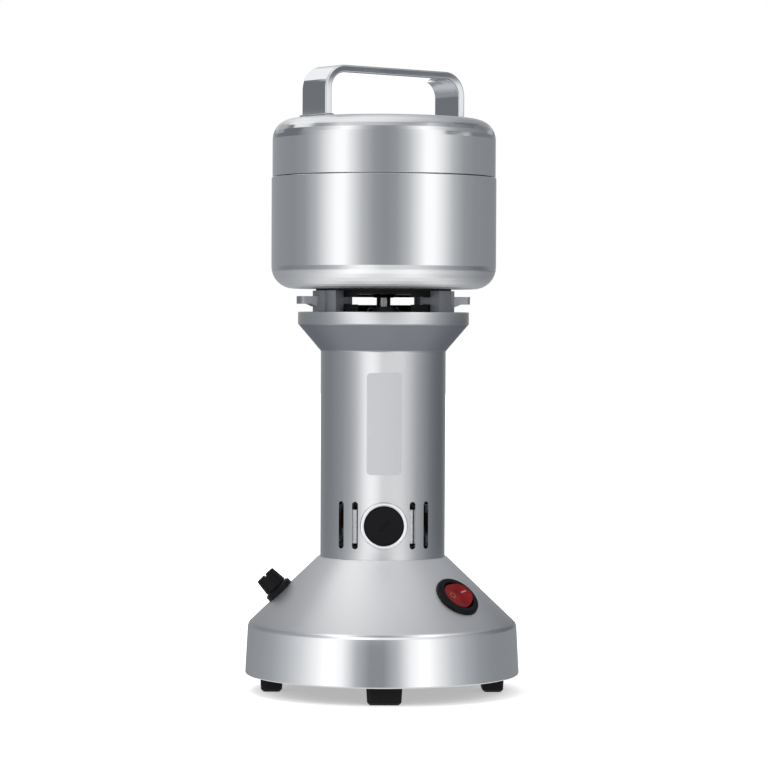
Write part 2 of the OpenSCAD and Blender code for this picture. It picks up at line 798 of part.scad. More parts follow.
// A coil of round wire about Z, from z = 0 to z = length, as one closed tube
module coil(mean_r, wire_r, length, turns) {
    rings = turns * spring_steps;
    rise = (length - 2 * wire_r) / rings;
    points = [for (i = [0:rings], k = [0:spring_sides - 1])
        let (a = i * full_turn / spring_steps, b = k * full_turn / spring_sides, r = mean_r + wire_r * cos(b))
        [r * cos(a), r * sin(a), wire_r + i * rise + wire_r * sin(b)]];
    sides = [for (i = [0:rings - 1], k = [0:spring_sides - 1])
        let (n = (k + 1) % spring_sides, p = i * spring_sides, q = p + spring_sides)
        each [[p + k, q + n, p + n], [p + k, q + k, q + n]]];
    last = rings * spring_sides;
    start_cap = [for (k = [0:spring_sides - 1]) k];
    end_cap = [for (k = [0:spring_sides - 1]) last + spring_sides - 1 - k];
    polyhedron(points = points, faces = concat(sides, [start_cap, end_cap]), convexity = spring_turns);
}

module brush_spring(face) color("silver") on_brush_line(face) up(brush_tail + fit_gap)
    coil(spring_r, spring_wire_r, cap_back - brush_tail - 2 * fit_gap, spring_turns);

module lower_bracket() color("gray") difference() {
    union() {
        up(z_bracket) cylinder(h = bracket_t, r = bore_r - fit_gap);
        up(z_bracket) cylinder(h = bracket_floor + bearing_w, r = bearing_r + bracket_hub_w);
        around(column_screw_count) translate([0, -column_screw_ring, z_column])
            cylinder(h = lip_t + bracket_t, r = bracket_pad_r);
    }
    up(z_low_bearing) cylinder(h = bearing_w + cut, r = bearing_r + fit_gap);
    around(column_screw_count) translate([0, -column_screw_ring, z_column - cut])
        cylinder(h = cut + column_screw_grip + run_gap, r = column_screw_r + fit_gap);
    up(z_low_bearing - race_relief) cylinder(h = race_relief + cut, r = relief_r);
    around(column_screw_count, quarter_turn) up(z_bracket - cut)
        sector(window_in, window_out, bracket_t + 2 * cut, window_angle);
}

module race_ring(inner, outer) difference() {
    ring(inner, outer, bearing_w);
    up(bearing_w / 2) rotate_extrude() translate([ball_ring_r, 0]) circle(r = ball_r + ball_gap);
}

module bearing_outer(z) color("lightsteelblue") up(z) race_ring(bearing_r - race_w, bearing_r);

module bearing_inner(z) color("lightsteelblue") up(z) race_ring(shaft_r + ball_gap, shaft_r + race_w);

module bearing_balls(z) color("white") around(ball_count)
    translate([ball_ring_r, 0, z + bearing_w / 2]) sphere(r = ball_r);

module stator_core() color("slategray") difference() {
    up(z_stack) ring(stack_r + air_gap, bore_r - fit_gap, stack_h);
    for (face = [0, half_turn], side = [-1, 1])
        rotate([0, 0, face + side * (coil_inner_angle + coil_outer_angle) / 2]) up(z_stack - cut)
            sector(coil_in - coil_gap, coil_out + coil_gap, stack_h + 2 * cut, coil_slot_angle);
}

module stator_coils() color("chocolate") for (face = [0, half_turn]) rotate([0, 0, face]) difference() {
    up(z_stack - coil_over) sector(coil_in, coil_out, stack_h + 2 * coil_over, 2 * coil_outer_angle);
    up(z_stack - coil_gap)
        sector(coil_in - cut, coil_out + cut, stack_h + 2 * coil_gap, 2 * coil_inner_angle);
}

module armature_slots(w, reach) around(stack_slots)
    translate([stack_r - slot_lip - slot_depth, -w / 2, z_stack - reach])
        cube([slot_depth, w, stack_h + 2 * reach]);

module armature_core() color("slategray") difference() {
    up(z_stack) ring(shaft_r + fit_gap, stack_r, stack_h);
    armature_slots(slot_w, cut);
}

module armature_winding() color("chocolate") {
    for (z = [z_winding, z_stack_top + fit_gap]) turned([
        [winding_in, z, 0], [winding_r, z, winding_edge],
        [winding_r, z + stack_drop - fit_gap, winding_edge], [winding_in, z + stack_drop - fit_gap, 0]]);
    armature_slots(slot_w - 2 * fit_gap, 2 * fit_gap);
}

module commutator() color("peru") difference() {
    union() {
        up(z_commutator) ring(shaft_r + fit_gap, commutator_r, commutator_h);
        up(z_commutator + commutator_h) ring(shaft_r + fit_gap, commutator_r + riser_w, riser_h);
    }
    around(commutator_bars) translate([commutator_r - slit_depth, -slit_w / 2, z_commutator - cut])
        cube([slit_depth + riser_w + cut, slit_w, commutator_h + riser_h + 2 * cut]);
}

module fan() color("darkslategray") {
    up(z_fan) ring(shaft_r + fit_gap, fan_r, fan_disc_t);
    up(z_fan) ring(shaft_r + fit_gap, fan_hub_r, fan_h);
    intersection() {
        up(z_fan) ring(fan_hub_r - fit_gap, fan_r, fan_h);
        around(fan_blades) translate([fan_hub_r, 0, z_fan]) rotate([0, 0, fan_blade_angle])
            translate([-cut, -fan_blade_t / 2, 0]) cube([fan_r, fan_blade_t, fan_h]);
    }
}

// Motor shaft: plain through both bearings, a flinger under the blades and a stud for the nut
module shaft() color("silver") turned([
    [0, z_shaft, 0], [shaft_r, z_shaft, land_edge], [shaft_r, z_flinger, 0], [flinger_r, z_flinger, 0],
    [flinger_r, z_low_blade, 0], [stud_r, z_low_blade, 0],
    [stud_r, z_shaft_top, land_edge], [0, z_shaft_top, 0]]);

module neck_frame() color("gray") rotate([0, 0, neck_turn]) difference() {
    union() {
        up(z_seat) cylinder(h = frame_plate_t, r = mouth_r - plate_fit);
        up(z_high_bearing) cylinder(h = z_mouth - z_high_bearing, r = frame_hub_r);
        up(z_mouth) cylinder(h = nose_h, r1 = nose_r, r2 = nose_tip_r);
        around(2) {
            up(z_mouth - fit_gap) sector(wall_in, wall_out, neck_h + fit_gap, wall_angle);
            rotate([0, 0, pillar_turn]) {
                up(z_mouth - fit_gap) sector(pillar_in, pillar_out, neck_h + fit_gap, pillar_angle);
                ear();
            }
        }
    }
    up(z_mouth) ring(dust_ring_in - recess_gap, dust_ring_r + recess_gap, dust_ring_h + recess_gap);
    up(z_carrier - carrier_skirt - recess_gap)
        ring(carrier_in - recess_gap, carrier_r + recess_gap, carrier_skirt + carrier_h + cut);
    up(z_carrier) cylinder(h = carrier_h + cut, r = carrier_r);
    up(z_high_bearing - cut) cylinder(h = cut + bearing_w, r = bearing_r + fit_gap);
    up(z_high_bearing_top - fit_gap) cylinder(h = fit_gap + race_relief, r = relief_r);
    up(z_seat) cylinder(h = z_frame_top, r = shaft_r + shaft_gap);
    for (face = [0, half_turn]) rotate([0, 0, face - quarter_turn]) up(z_seat - cut)
        sector(air_in, air_out, frame_plate_t + 2 * cut, air_angle);
    rotate([0, 0, -neck_turn]) neck_screw_places() up(z_seat - cut) {
        cylinder(h = frame_plate_t + 2 * cut, r = neck_screw_r + screw_gap);
        up(cut + frame_plate_t - neck_head_h) cylinder(h = neck_head_h + cut, r = neck_head_r + screw_gap);
    }
    rotate([0, 0, -neck_turn]) bowl_screw_places() up(z_frame_top - bowl_screw_grip)
        cylinder(h = bowl_screw_grip + cut, r = bowl_screw_r + fit_gap);
}

// One of the frame's two side lugs, with the gusset under its root
module ear() intersection() {
    up(z_ear - gusset_h) difference() {
        translate([wall_out - cut, -ear_w / 2, 0]) cube([ear_out, ear_w, ear_t + gusset_h]);
        translate([pillar_out + gusset_len, -ear_w / 2 - cut, -cut])
            cube([ear_out, ear_w + 2 * cut, gusset_h + cut]);
        translate([pillar_out, -ear_w / 2 - cut, 0]) rotate([0, -atan(gusset_h / gusset_len), 0])
            up(-ear_t) cube([norm([gusset_len, gusset_h]), ear_w + 2 * cut, ear_t]);
    }
    up(z_ear - ear_t) linear_extrude(height = 3 * ear_t) polygon(rounded([
        [0, -ear_w / 2, 0], [ear_out, -ear_w / 2, ear_corner],
        [ear_out, ear_w / 2, ear_corner], [0, ear_w / 2, 0]]));
}

// The places of the screws that hold the bowl down on the neck frame
module bowl_screw_places() for (face = [0, half_turn], side = [-1, 1])
    rotate([0, 0, neck_turn + face + side * bowl_screw_turn]) translate([bowl_screw_ring, 0, 0]) children();

// A notch through the front of a ring, to blow the meal dust out
module front_notch(z, h) translate([-notch_w / 2, -dust_ring_r - cut, z - cut])
    cube([notch_w, cut + dust_ring_r, h + cut]);

module dust_ring() color("black") difference() {
    up(z_mouth) ring(dust_ring_in, dust_ring_r, dust_ring_h);
    front_notch(z_mouth, dust_ring_h + cut);
}

module seal_carrier() color("black") difference() {
    union() {
        up(z_carrier) cylinder(h = carrier_h, r = carrier_r);
        difference() {
            up(z_carrier - carrier_skirt) ring(carrier_in, carrier_r, carrier_skirt + fit_gap);
            front_notch(z_carrier - carrier_skirt, carrier_skirt);
        }
        up(z_carrier - carrier_nose_h)
            cylinder(h = carrier_nose_h + fit_gap, r1 = carrier_nose_tip_r, r2 = carrier_nose_r);
    }
    up(z_mouth) cylinder(h = neck_h + cut, r = shaft_r + shaft_gap);
}

module bowl_gasket() color("black") difference() {
    up(z_frame_top) ring(carrier_nose_r, wall_out - gasket_inset, gasket_t);
    bowl_screw_places() up(z_frame_top - cut) cylinder(h = gasket_t + 2 * cut, r = bowl_screw_r + screw_gap);
}

module bowl() color("silver") difference() {
    z_hub = z_floor + bowl_hub_h;
    turned([
        [bowl_hole_r, z_bowl, 0], [bowl_r, z_bowl, bowl_fillet], [bowl_r, z_seam, bowl_lip],
        [bowl_in_r, z_seam, 0], [bowl_in_r, z_floor, bowl_fillet - bowl_wall],
        [bowl_hub_r, z_floor, hub_edge],
        [bowl_hub_r, z_hub, hub_edge], [seal_r, z_hub, 0], [seal_r, z_hub - seal_h, 0],
        [bowl_hole_r, z_hub - seal_h, 0]]);
    bowl_screw_places() up(z_bowl - cut) {
        cylinder(h = bowl_floor + 2 * cut, r = bowl_screw_r + screw_gap);
        up(cut + bowl_floor - bowl_head_h) cylinder(h = bowl_head_h + cut, r = bowl_head_r + screw_gap);
    }
}

module bowl_screws() color("silver") bowl_screw_places() up(z_floor - bowl_head_h) mirror([0, 0, 1])
    screw(bowl_head_r, bowl_head_h, bowl_screw_r, bowl_floor - bowl_head_h + gasket_t + bowl_screw_grip);

module lip_seal() color("black") up(z_floor + bowl_hub_h - seal_h) turned([
    [lip_run_r, seal_h * half_share, 0], [lip_run_r + seal_lip, 0, 0], [seal_r - fit_gap, 0, 0],
    [seal_r - fit_gap, seal_h, 0], [lip_run_r + seal_lip, seal_h, 0]]);

// Rolled collar in the bowl's mouth, with three lugs that the lid locks under
module bowl_collar() color("gainsboro") {
    turned([
        [collar_in_r, z_seam - collar_drop, 0], [bowl_in_r - fit_gap, z_seam - collar_drop, 0],
        [bowl_in_r - fit_gap, z_seam, 0], [collar_r, z_seam, 0], [collar_r, z_collar_top, collar_edge],
        [collar_in_r, z_collar_top, collar_edge]]);
    around(lug_count, lug_turn) up(z_seam + lug_lift)
        sector(collar_r - fit_gap, collar_r + lug_reach, lug_h, lug_angle);
    around(lug_count, lug_turn - (lug_angle - stop_angle) / 2 + stop_play_angle)
        up(z_seam) sector(collar_r - fit_gap, collar_r + stop_reach, lug_lift + fit_gap, stop_angle);
}

module lid_shell() color("silver") turned([
    [lid_r, z_lid, land_edge], [lid_r, z_lid_top, lid_fillet], [0, z_lid_top, 0],
    [0, z_lid_top - lid_wall, 0], [lid_r - lid_wall, z_lid_top - lid_wall, lid_fillet - lid_wall],
    [lid_r - lid_wall, z_lid, 0]]);

module lid_liner() color("gainsboro") {
    turned([
        [liner_r, z_liner, 0], [liner_r, z_liner_plate + liner_t, 0], [0, z_liner_plate + liner_t, 0],
        [0, z_liner_plate, 0], [liner_in_r, z_liner_plate, 0], [liner_in_r, z_liner, 0]]);
    around(lug_count) up(z_liner) sector(lid_lug_in_r, liner_in_r + fit_gap, lid_lug_h, lid_lug_angle);
}

module lid_gasket() color("white") up(z_gasket)
    ring(collar_in_r, collar_in_r + gasket_w, gasket_h);

// Side view of an arch that stands on the X axis: upright sides, two round bends and a flat top
module arch(span, h, bend) {
    translate([-span / 2, 0]) square([span, h - bend]);
    translate([bend - span / 2, 0]) square([span - 2 * bend, h]);
    for (side = [-1, 1]) translate([side * (span / 2 - bend), h - bend]) circle(r = bend);
}

// The strap stands on the lid, where it is welded
module handle() color("gainsboro")
    rotate([0, 0, handle_turn]) translate([0, handle_w / 2, z_lid_top]) rotate([quarter_turn, 0, 0])
        linear_extrude(height = handle_w) difference() {
            arch(handle_span, handle_h, handle_bend);
            translate([0, -cut])
                arch(handle_span - 2 * handle_t, cut + handle_h - handle_t, handle_bend - handle_t);
        }

// One wing of a blade along +X: root and tip widths, and a bevel along its cutting edge
module wing(reach, root, tip, t) difference() {
    linear_extrude(height = t) polygon(rounded([
        [0, -root / 2, 0], [reach * half_share, -root / 2, root], [reach, -tip / 2, land_edge],
        [reach, tip / 2, tip / 2], [reach * half_share, root / 2, root], [0, root / 2, 0]]));
    translate([blade_hub_r, -root / 2, 0]) rotate([atan(t / blade_bevel), 0, (root - tip) / reach])
        translate([0, -root, 0]) cube([reach, root, 2 * t]);
}

module blade_lower() color("silver") up(z_low_blade) rotate([0, 0, low_blade_turn]) difference() {
    union() {
        cylinder(h = low_blade_t, r = blade_hub_r);
        around(2) wing(low_blade_r, low_blade_root, low_blade_tip, low_blade_t);
    }
    up(-cut) cylinder(h = low_blade_t + 2 * cut, r = stud_r + fit_gap);
}

module blade_upper() color("silver") up(z_top_blade) rotate([0, 0, top_blade_turn]) difference() {
    union() {
        cylinder(h = top_blade_t, r = blade_hub_r);
        around(2) translate([blade_hub_r - top_blade_t, 0, 0]) rotate([0, -top_blade_angle, 0])
            wing(top_blade_r - blade_hub_r, top_blade_root, top_blade_tip, top_blade_t);
    }
    up(-cut) cylinder(h = top_blade_t + 2 * cut, r = stud_r + fit_gap);
    up(-spacer_h + fit_gap) cylinder(h = spacer_h - fit_gap, r = spacer_r + cut);
    up(top_blade_t) cylinder(h = spacer_h, r = washer_r + fit_gap);
}

module blade_spacer() color("lightgray") up(z_spacer) ring(stud_r + fit_gap, spacer_r, spacer_h);

module blade_washer() color("lightgray") up(z_washer) ring(stud_r + fit_gap, washer_r, washer_t);

module blade_nut() color("gainsboro") up(z_nut) difference() {
    union() {
        cylinder(h = nut_h, r = nut_af / 2 / cos(hex_half_turn), $fn = hex_sides);
        intersection() {
            up(nut_h) sphere(r = nut_dome_r);
            cylinder(h = nut_h + nut_dome_r, r = nut_dome_r);
        }
    }
    up(-cut) cylinder(h = cut + stud_in_nut + fit_gap, r = stud_r + fit_gap);
}

base_shell();
bottom_plate();
foot(0);  // foot_front
foot(quarter_turn);  // foot_right
foot(half_turn);  // foot_back
foot(-quarter_turn);  // foot_left
foot_screws();
column_screws();
switch_housing();
switch_terminals();
switch_rocker();
fuse_holder();
fuse_nut();
fuse_cap();
fuse_link();
cord_gland();
motor_housing();
name_plate();
brush_ring(0);  // brush_ring_front
brush_ring(half_turn);  // brush_ring_rear
brush_cap(0);  // brush_cap_front
brush_cap(half_turn);  // brush_cap_rear
brush_holder(0);  // brush_holder_front
brush_holder(half_turn);  // brush_holder_rear
carbon_brush(0);  // brush_front
carbon_brush(half_turn);  // brush_rear
brush_spring(0);  // brush_spring_front
brush_spring(half_turn);  // brush_spring_rear
lower_bracket();
bearing_outer(z_low_bearing);  // lower_bearing_outer
bearing_balls(z_low_bearing);  // lower_bearing_balls
bearing_inner(z_low_bearing);  // lower_bearing_inner
stator_core();
stator_coils();
armature_core();
armature_winding();
commutator();
fan();
shaft();
bearing_outer(z_high_bearing);  // upper_bearing_outer
bearing_balls(z_high_bearing);  // upper_bearing_balls
bearing_inner(z_high_bearing);  // upper_bearing_inner
neck_frame();
neck_screws();
dust_ring();
seal_carrier();
bowl_gasket();
bowl();
bowl_screws();
lip_seal();
bowl_collar();
blade_lower();
blade_upper();
blade_spacer();
blade_washer();
blade_nut();
lid_shell();
lid_liner();
lid_gasket();
handle();
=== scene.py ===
import math

import bmesh
import bpy
from mathutils import Matrix, Quaternion, Vector


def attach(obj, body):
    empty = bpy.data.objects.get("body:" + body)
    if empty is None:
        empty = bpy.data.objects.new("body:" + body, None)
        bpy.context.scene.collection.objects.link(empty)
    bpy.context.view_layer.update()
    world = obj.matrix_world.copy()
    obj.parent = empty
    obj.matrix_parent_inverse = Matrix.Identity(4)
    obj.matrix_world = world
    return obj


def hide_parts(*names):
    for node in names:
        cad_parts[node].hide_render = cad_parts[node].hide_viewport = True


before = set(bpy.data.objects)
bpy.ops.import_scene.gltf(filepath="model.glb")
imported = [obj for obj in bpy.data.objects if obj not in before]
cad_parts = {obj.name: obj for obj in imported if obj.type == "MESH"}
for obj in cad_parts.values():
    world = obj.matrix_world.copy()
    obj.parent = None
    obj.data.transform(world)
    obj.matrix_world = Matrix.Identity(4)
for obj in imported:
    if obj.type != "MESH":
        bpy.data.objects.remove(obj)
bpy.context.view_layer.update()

# Base shell: spun from 2.5 mm aluminium sheet over a former, then skimmed in the lathe and polished. The
# polish leaves fine rings round the axis on skirt and cone, and handling leaves its gloss uneven.


def linear(code):
    """An sRGB hex colour as linear RGBA."""
    values = [int(code[i:i + 2], 16) / 255 for i in (1, 3, 5)]
    return [v / 12.92 if v <= 0.04045 else ((v + 0.055) / 1.055) ** 2.4 for v in values] + [1]


def add(material, kind, sockets=None, **settings):
    """Adds a node with its settings, and sets its sockets or joins them to other nodes' outputs."""
    node = material.node_tree.nodes.new("ShaderNode" + kind)
    for name, value in settings.items():
        setattr(node, name, value)
    for name, value in (sockets or {}).items():
        if isinstance(value, bpy.types.NodeSocket):
            material.node_tree.links.new(value, node.inputs[name])
        else:
            node.inputs[name].default_value = value
    return node


def finish_of(name, **settings):
    """A new material, its shader with those settings, and the place of each point on the piece."""
    material = bpy.data.materials.new(name)
    material.use_nodes = True
    shader = material.node_tree.nodes["Principled BSDF"]
    for key, value in settings.items():
        shader.inputs[key.replace("_", " ")].default_value = value
    return material, shader, add(material, "TexCoord").outputs["Object"]


def worked(material, shader, grain, depth_mm, low, high, colours=None):
    """The grain of a finish raised by depth_mm, with its roughness running from low to high along it, and
    its colour from the first to the second where two are given."""
    relief = add(material, "Bump", {"Height": grain, "Distance": depth_mm / 1000})
    material.node_tree.links.new(relief.outputs["Normal"], shader.inputs["Normal"])
    sheen = add(material, "MapRange", {"Value": grain, "To Min": low, "To Max": high})
    material.node_tree.links.new(sheen.outputs["Result"], shader.inputs["Roughness"])
    if colours:
        tone = add(material, "MixRGB", {"Fac": grain, "Color1": linear(colours[0]),
                                        "Color2": linear(colours[1])})
        material.node_tree.links.new(tone.outputs["Color"], shader.inputs["Base Color"])


# Noise keeps mostly between these two. Hands leave smudges this wide, and satin begins within this much.
NOISE_LOW, NOISE_HIGH = 0.3, 0.7
SMUDGE_MM = 28
SATIN_FADE_MM = 0.4


def lathe_finish(name, colour, pitch_mm, depth_mm, low, high, satin=None):
    """A bare metal turned or polished round the Z axis, with one ring for each height and radius. Between
    the two heights in satin, in millimetres, the polish stops: there it has its own roughness, and its own
    colours at the bottom and at the top, which are painted shade on the housing's flare and painted
    reflection on the bowl's foot and the lid's top."""
    material, shader, place = finish_of(name, Base_Color=linear(colour), Metallic=1.0)
    parts = add(material, "SeparateXYZ", {"Vector": place}).outputs
    flat = add(material, "CombineXYZ", {"X": parts["X"], "Y": parts["Y"]}).outputs["Vector"]
    radius = add(material, "VectorMath", {0: flat}, operation="LENGTH").outputs["Value"]
    along = add(material, "Math", {0: parts["Z"], 1: radius}, operation="ADD").outputs["Value"]
    rings = add(material, "TexNoise", {"W": along, "Scale": 1000 / pitch_mm, "Detail": 2.0},
                noise_dimensions="1D").outputs["Fac"]
    smudges = add(material, "TexNoise", {"Vector": place, "Scale": 1000 / SMUDGE_MM,
                                         "Detail": 3.0}).outputs["Fac"]
    handled = add(material, "Math", {0: rings, 1: smudges}, operation="ADD").outputs["Value"]
    halved = add(material, "Math", {0: handled, 1: 0.5}, operation="MULTIPLY").outputs["Value"]
    relief = add(material, "Bump", {"Height": rings, "Distance": depth_mm / 1000})
    material.node_tree.links.new(relief.outputs["Normal"], shader.inputs["Normal"])
    sheen = add(material, "MapRange", {"Value": halved, "From Min": NOISE_LOW, "From Max": NOISE_HIGH,
                                       "To Min": low, "To Max": high}).outputs["Result"]
    if satin:
        bottom, top, low_tone, high_tone, rough = satin
        over = add(material, "MapRange", {"Value": parts["Z"], "From Min": (bottom - SATIN_FADE_MM) / 1000,
                                          "From Max": (bottom + SATIN_FADE_MM) / 1000}).outputs["Result"]
        under = add(material, "MapRange", {"Value": parts["Z"], "From Min": (top + SATIN_FADE_MM) / 1000,
                                           "From Max": (top - SATIN_FADE_MM) / 1000}).outputs["Result"]
        between = add(material, "Math", {0: over, 1: under}, operation="MULTIPLY").outputs["Value"]
        risen = add(material, "MapRange", {"Value": parts["Z"], "From Min": bottom / 1000,
                                           "From Max": top / 1000}).outputs["Result"]
        # These colours are painted shade on the housing's flare, and painted reflection on the bowl's foot
        # and the lid's top.
        zone_tone = add(material, "MixRGB", {"Fac": risen, "Color1": linear(low_tone),
                                          "Color2": linear(high_tone)})
        tone = add(material, "MixRGB", {"Fac": between, "Color1": linear(colour),
                                        "Color2": zone_tone.outputs["Color"]})
        material.node_tree.links.new(tone.outputs["Color"], shader.inputs["Base Color"])
        sheen = add(material, "Mix", {"Factor": between, "A": sheen, "B": rough}).outputs["Result"]
    material.node_tree.links.new(sheen, shader.inputs["Roughness"])
    return material


def dress(material, *names):
    """Gives CAD nodes their finish."""
    for name in names:
        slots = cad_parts[name].data.materials
        slots.clear()
        slots.append(material)


# Polished spun aluminium: the skirt is a near mirror with soft edges to its bands, while the cone above
# 34 mm keeps a satin skin that shows no shapes, and whose colour runs darker towards its foot. The real
# rings lie about 0.15 mm apart and are drawn at 0.9 mm, as finer ones don't show.
dress(lathe_finish("polished_spun_aluminium", "#E3E4E6", 0.9, 0.001, 0.05, 0.10,
                   (34.3, 70, "#D8D8DA", "#FCFCFD", 0.42)), "base_shell")

# Bottom plate: punched from 1.5 mm steel sheet, with a fine black powder coat, and held by the screws of
# the feet. The screws are zinc plated, as are the deck's, the neck's and the bowl's.
# Powder-coated steel: a dull black skin with the slight waves of orange peel, about 1.2 mm long.
coated_steel, shader, place = finish_of("powder_coated_steel", Base_Color=linear("#1C1C1E"))
waves = add(coated_steel, "TexNoise", {"Vector": place, "Scale": 1000 / 1.2, "Detail": 2.0}).outputs["Fac"]
worked(coated_steel, shader, waves, 0.03, 0.5, 0.62)
dress(coated_steel, "bottom_plate")

# Zinc-plated steel: a bright bluish metal whose 0.6 mm crystals break up the gloss.
zinc, shader, place = finish_of("zinc_plated_steel", Base_Color=linear("#B4B8BC"), Metallic=1.0)
crystals = add(zinc, "TexNoise", {"Vector": place, "Scale": 1000 / 0.6, "Detail": 3.0}).outputs["Fac"]
worked(zinc, shader, crystals, 0.004, 0.25, 0.45)
dress(zinc, "foot_screws", "column_screws", "fuse_nut", "neck_screws", "bowl_screws")

# Feet, grommet, dust ring and gasket: moulded black rubber. The moulds are blasted, so the skin is dull
# with a 0.8 mm grain that catches the light only at grazing angles.
black_rubber, shader, place = finish_of("moulded_black_rubber", Base_Color=linear("#0B0B0D"), IOR=1.52,
                                        Specular_IOR_Level=0.2)
skin = add(black_rubber, "TexNoise", {"Vector": place, "Scale": 1000 / 0.8, "Detail": 4.0}).outputs["Fac"]
worked(black_rubber, shader, skin, 0.02, 0.45, 0.7)
dress(black_rubber, "foot_front", "foot_right", "foot_back", "foot_left", "cord_gland", "dust_ring",
      "bowl_gasket", "lip_seal")

# Rocker switch: a nylon body and bezel snapped into the cone, three blade terminals pushed into its
# floor, and a translucent red lens that tips on two pins. The fuse holder and brush caps match the body.
# Moulded black nylon: nearly black, with a fine spark-eroded grain of 0.5 mm and soft highlights.
black_nylon, shader, place = finish_of("moulded_black_nylon", Base_Color=linear("#08080B"), IOR=1.53,
                                       Specular_IOR_Level=0.14)
grain = add(black_nylon, "TexNoise", {"Vector": place, "Scale": 1000 / 0.5, "Detail": 2.0}).outputs["Fac"]
worked(black_nylon, shader, grain, 0.005, 0.26, 0.38)
dress(black_nylon, "switch_housing", "fuse_holder", "fuse_cap", "brush_cap_front", "brush_cap_rear",
      "seal_carrier", "fan")

# Stamped brass: a warm metal with soft clouds of tarnish, about 3 mm wide.
brass, shader, place = finish_of("stamped_brass", Base_Color=linear("#C9A563"), Metallic=1.0)
tarnish = add(brass, "TexNoise", {"Vector": place, "Scale": 1000 / 3, "Detail": 4.0}).outputs["Fac"]
worked(brass, shader, tarnish, 0.003, 0.2, 0.4)
dress(brass, "switch_terminals")

# Translucent red polycarbonate: deep red with paler flow lines where the lens is thin, under a hard gloss.
red_lens, shader, place = finish_of("translucent_red_polycarbonate", IOR=1.58, Specular_IOR_Level=0.16)
flow = add(red_lens, "TexNoise", {"Vector": place, "Scale": 1000 / 4, "Detail": 2.0}).outputs["Fac"]
worked(red_lens, shader, flow, 0.05, 0.12, 0.2, ("#450609", "#8E1417"))
dress(red_lens, "switch_rocker")

# The rocker's marks: a bar on the end that switches on and a ring on the end that switches off, printed in
# thick ink in the two halves of the dish. They are given in the switch's own frame, in millimetres.
SWITCH_TURN, SWITCH_PLACE = 45.5, Vector((0.035032, -0.034426, 0.048618))
ROCKER_TILT = math.radians(-9)
DISH_MIDDLE, DISH_RISE, DISH_REACH = 3.2, 1.4, 7.4
MARK_THICK, MARK_EDGE = 0.16, 0.06
BAR_LONG, BAR_WIDE, BAR_SIDE, BAR_UP = 3.0, 0.65, 4.1, 1.1
RING_RADIUS, RING_LINE, RING_SIDE, RING_UP = 1.45, 0.5, -3.4, 0.4
across = Vector((math.cos(math.radians(SWITCH_TURN)), math.sin(math.radians(SWITCH_TURN)), 0))
outward = Vector((0.4925, -0.4839, 0.7234)).normalized()
switch_frame = Matrix((across, outward.cross(across), outward)).transposed().to_4x4()
switch_frame = Matrix.Translation(SWITCH_PLACE) @ switch_frame @ Matrix.Rotation(ROCKER_TILT, 4, "Y")


def made_piece(name, shape, *finishes):
    """A finished shape as a piece with its finishes."""
    mesh = bpy.data.meshes.new(name)
    shape.to_mesh(mesh)
    shape.free()
    for finish in finishes:
        mesh.materials.append(finish)
    piece = bpy.data.objects.new(name, mesh)
    bpy.context.scene.collection.objects.link(piece)
    return piece


def mark_on_rocker(name, ink, mark, side_mm, up_mm):
    """Lays a mark drawn in millimetres round the origin on the dish, at that place from its middle."""
    slope = math.atan2(DISH_RISE, DISH_REACH) * (1 if side_mm > 0 else -1)
    height = DISH_MIDDLE + DISH_RISE * abs(side_mm) / DISH_REACH
    lie = Matrix.Translation((side_mm, up_mm, height)) @ Matrix.Rotation(-slope, 4, "Y")
    bmesh.ops.transform(mark, matrix=switch_frame @ Matrix.Scale(0.001, 4) @ lie, verts=mark.verts)
    bmesh.ops.recalc_face_normals(mark, faces=mark.faces)
    piece = made_piece(name, mark, ink)
    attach(piece, "rocker")


def mark_ink(name, colour):
    """Pad-printed ink: opaque and slightly glossy, with an uneven film 0.4 mm from patch to patch."""
    ink, shader, place = finish_of(name, Base_Color=linear(colour), IOR=1.5, Specular_IOR_Level=0.3)
    film = add(ink, "TexNoise", {"Vector": place, "Scale": 1000 / 0.4, "Detail": 2.0}).outputs["Fac"]
    worked(ink, shader, film, 0.01, 0.3, 0.45)
    return ink


bar = bmesh.new()
bmesh.ops.create_cube(bar, size=1)
bmesh.ops.scale(bar, vec=(BAR_LONG, BAR_WIDE, MARK_THICK), verts=bar.verts)
bmesh.ops.bevel(bar, geom=bar.edges, offset=MARK_EDGE, segments=2, profile=0.5, affect="EDGES", material=-1)
mark_on_rocker("switch_mark_on", mark_ink("pale_pad_print", "#A08A86"), bar, BAR_SIDE, BAR_UP)

ring = bmesh.new()
bmesh.ops.create_grid(ring, x_segments=1, y_segments=1, size=0.5)
section = Matrix.Rotation(math.pi / 2, 4, "X") @ Matrix.Diagonal((RING_LINE, MARK_THICK, 1, 1))
bmesh.ops.transform(ring, matrix=Matrix.Translation((RING_RADIUS, 0, 0)) @ section, verts=ring.verts)
bmesh.ops.spin(ring, geom=ring.verts[:] + ring.edges[:] + ring.faces[:], cent=(0, 0, 0), axis=(0, 0, 1),
               angle=2 * math.pi, steps=40, use_merge=True)
# The spin leaves the section that it started from inside the ring.
started = [face for face in ring.faces if abs(face.normal.y) > 0.9 and face.calc_center_median().x > 0
           and abs(face.calc_center_median().y) < 1e-4]
bmesh.ops.delete(ring, geom=started, context="FACES_ONLY")
bmesh.ops.remove_doubles(ring, verts=ring.verts, dist=0.001)
mark_on_rocker("switch_mark_off", mark_ink("ochre_pad_print", "#80583E"), ring, RING_SIDE, RING_UP)

# Fuse: a glass tube between two nickelled brass caps with a thin wire soldered through it, 5 x 20 mm. It
# stands in the fluted cap and comes out with it.
FUSE_START = Vector((-0.05096, 0, 0.0495))
FUSE_AXIS = Vector((-0.690427, 0, 0.723402))
FUSE_INNER, FUSE_OUTER = -18.672, 1.328
CAP_R, CAP_LEN, GLASS_R, WIRE_R = 2.6, 4.5, 2.3, 0.12
GLASS_IN_CAP, SOLDER_LEN = 0.4, 1
fuse_frame = Matrix.Translation(FUSE_START) @ FUSE_AXIS.to_track_quat("Z", "Y").to_matrix().to_4x4()


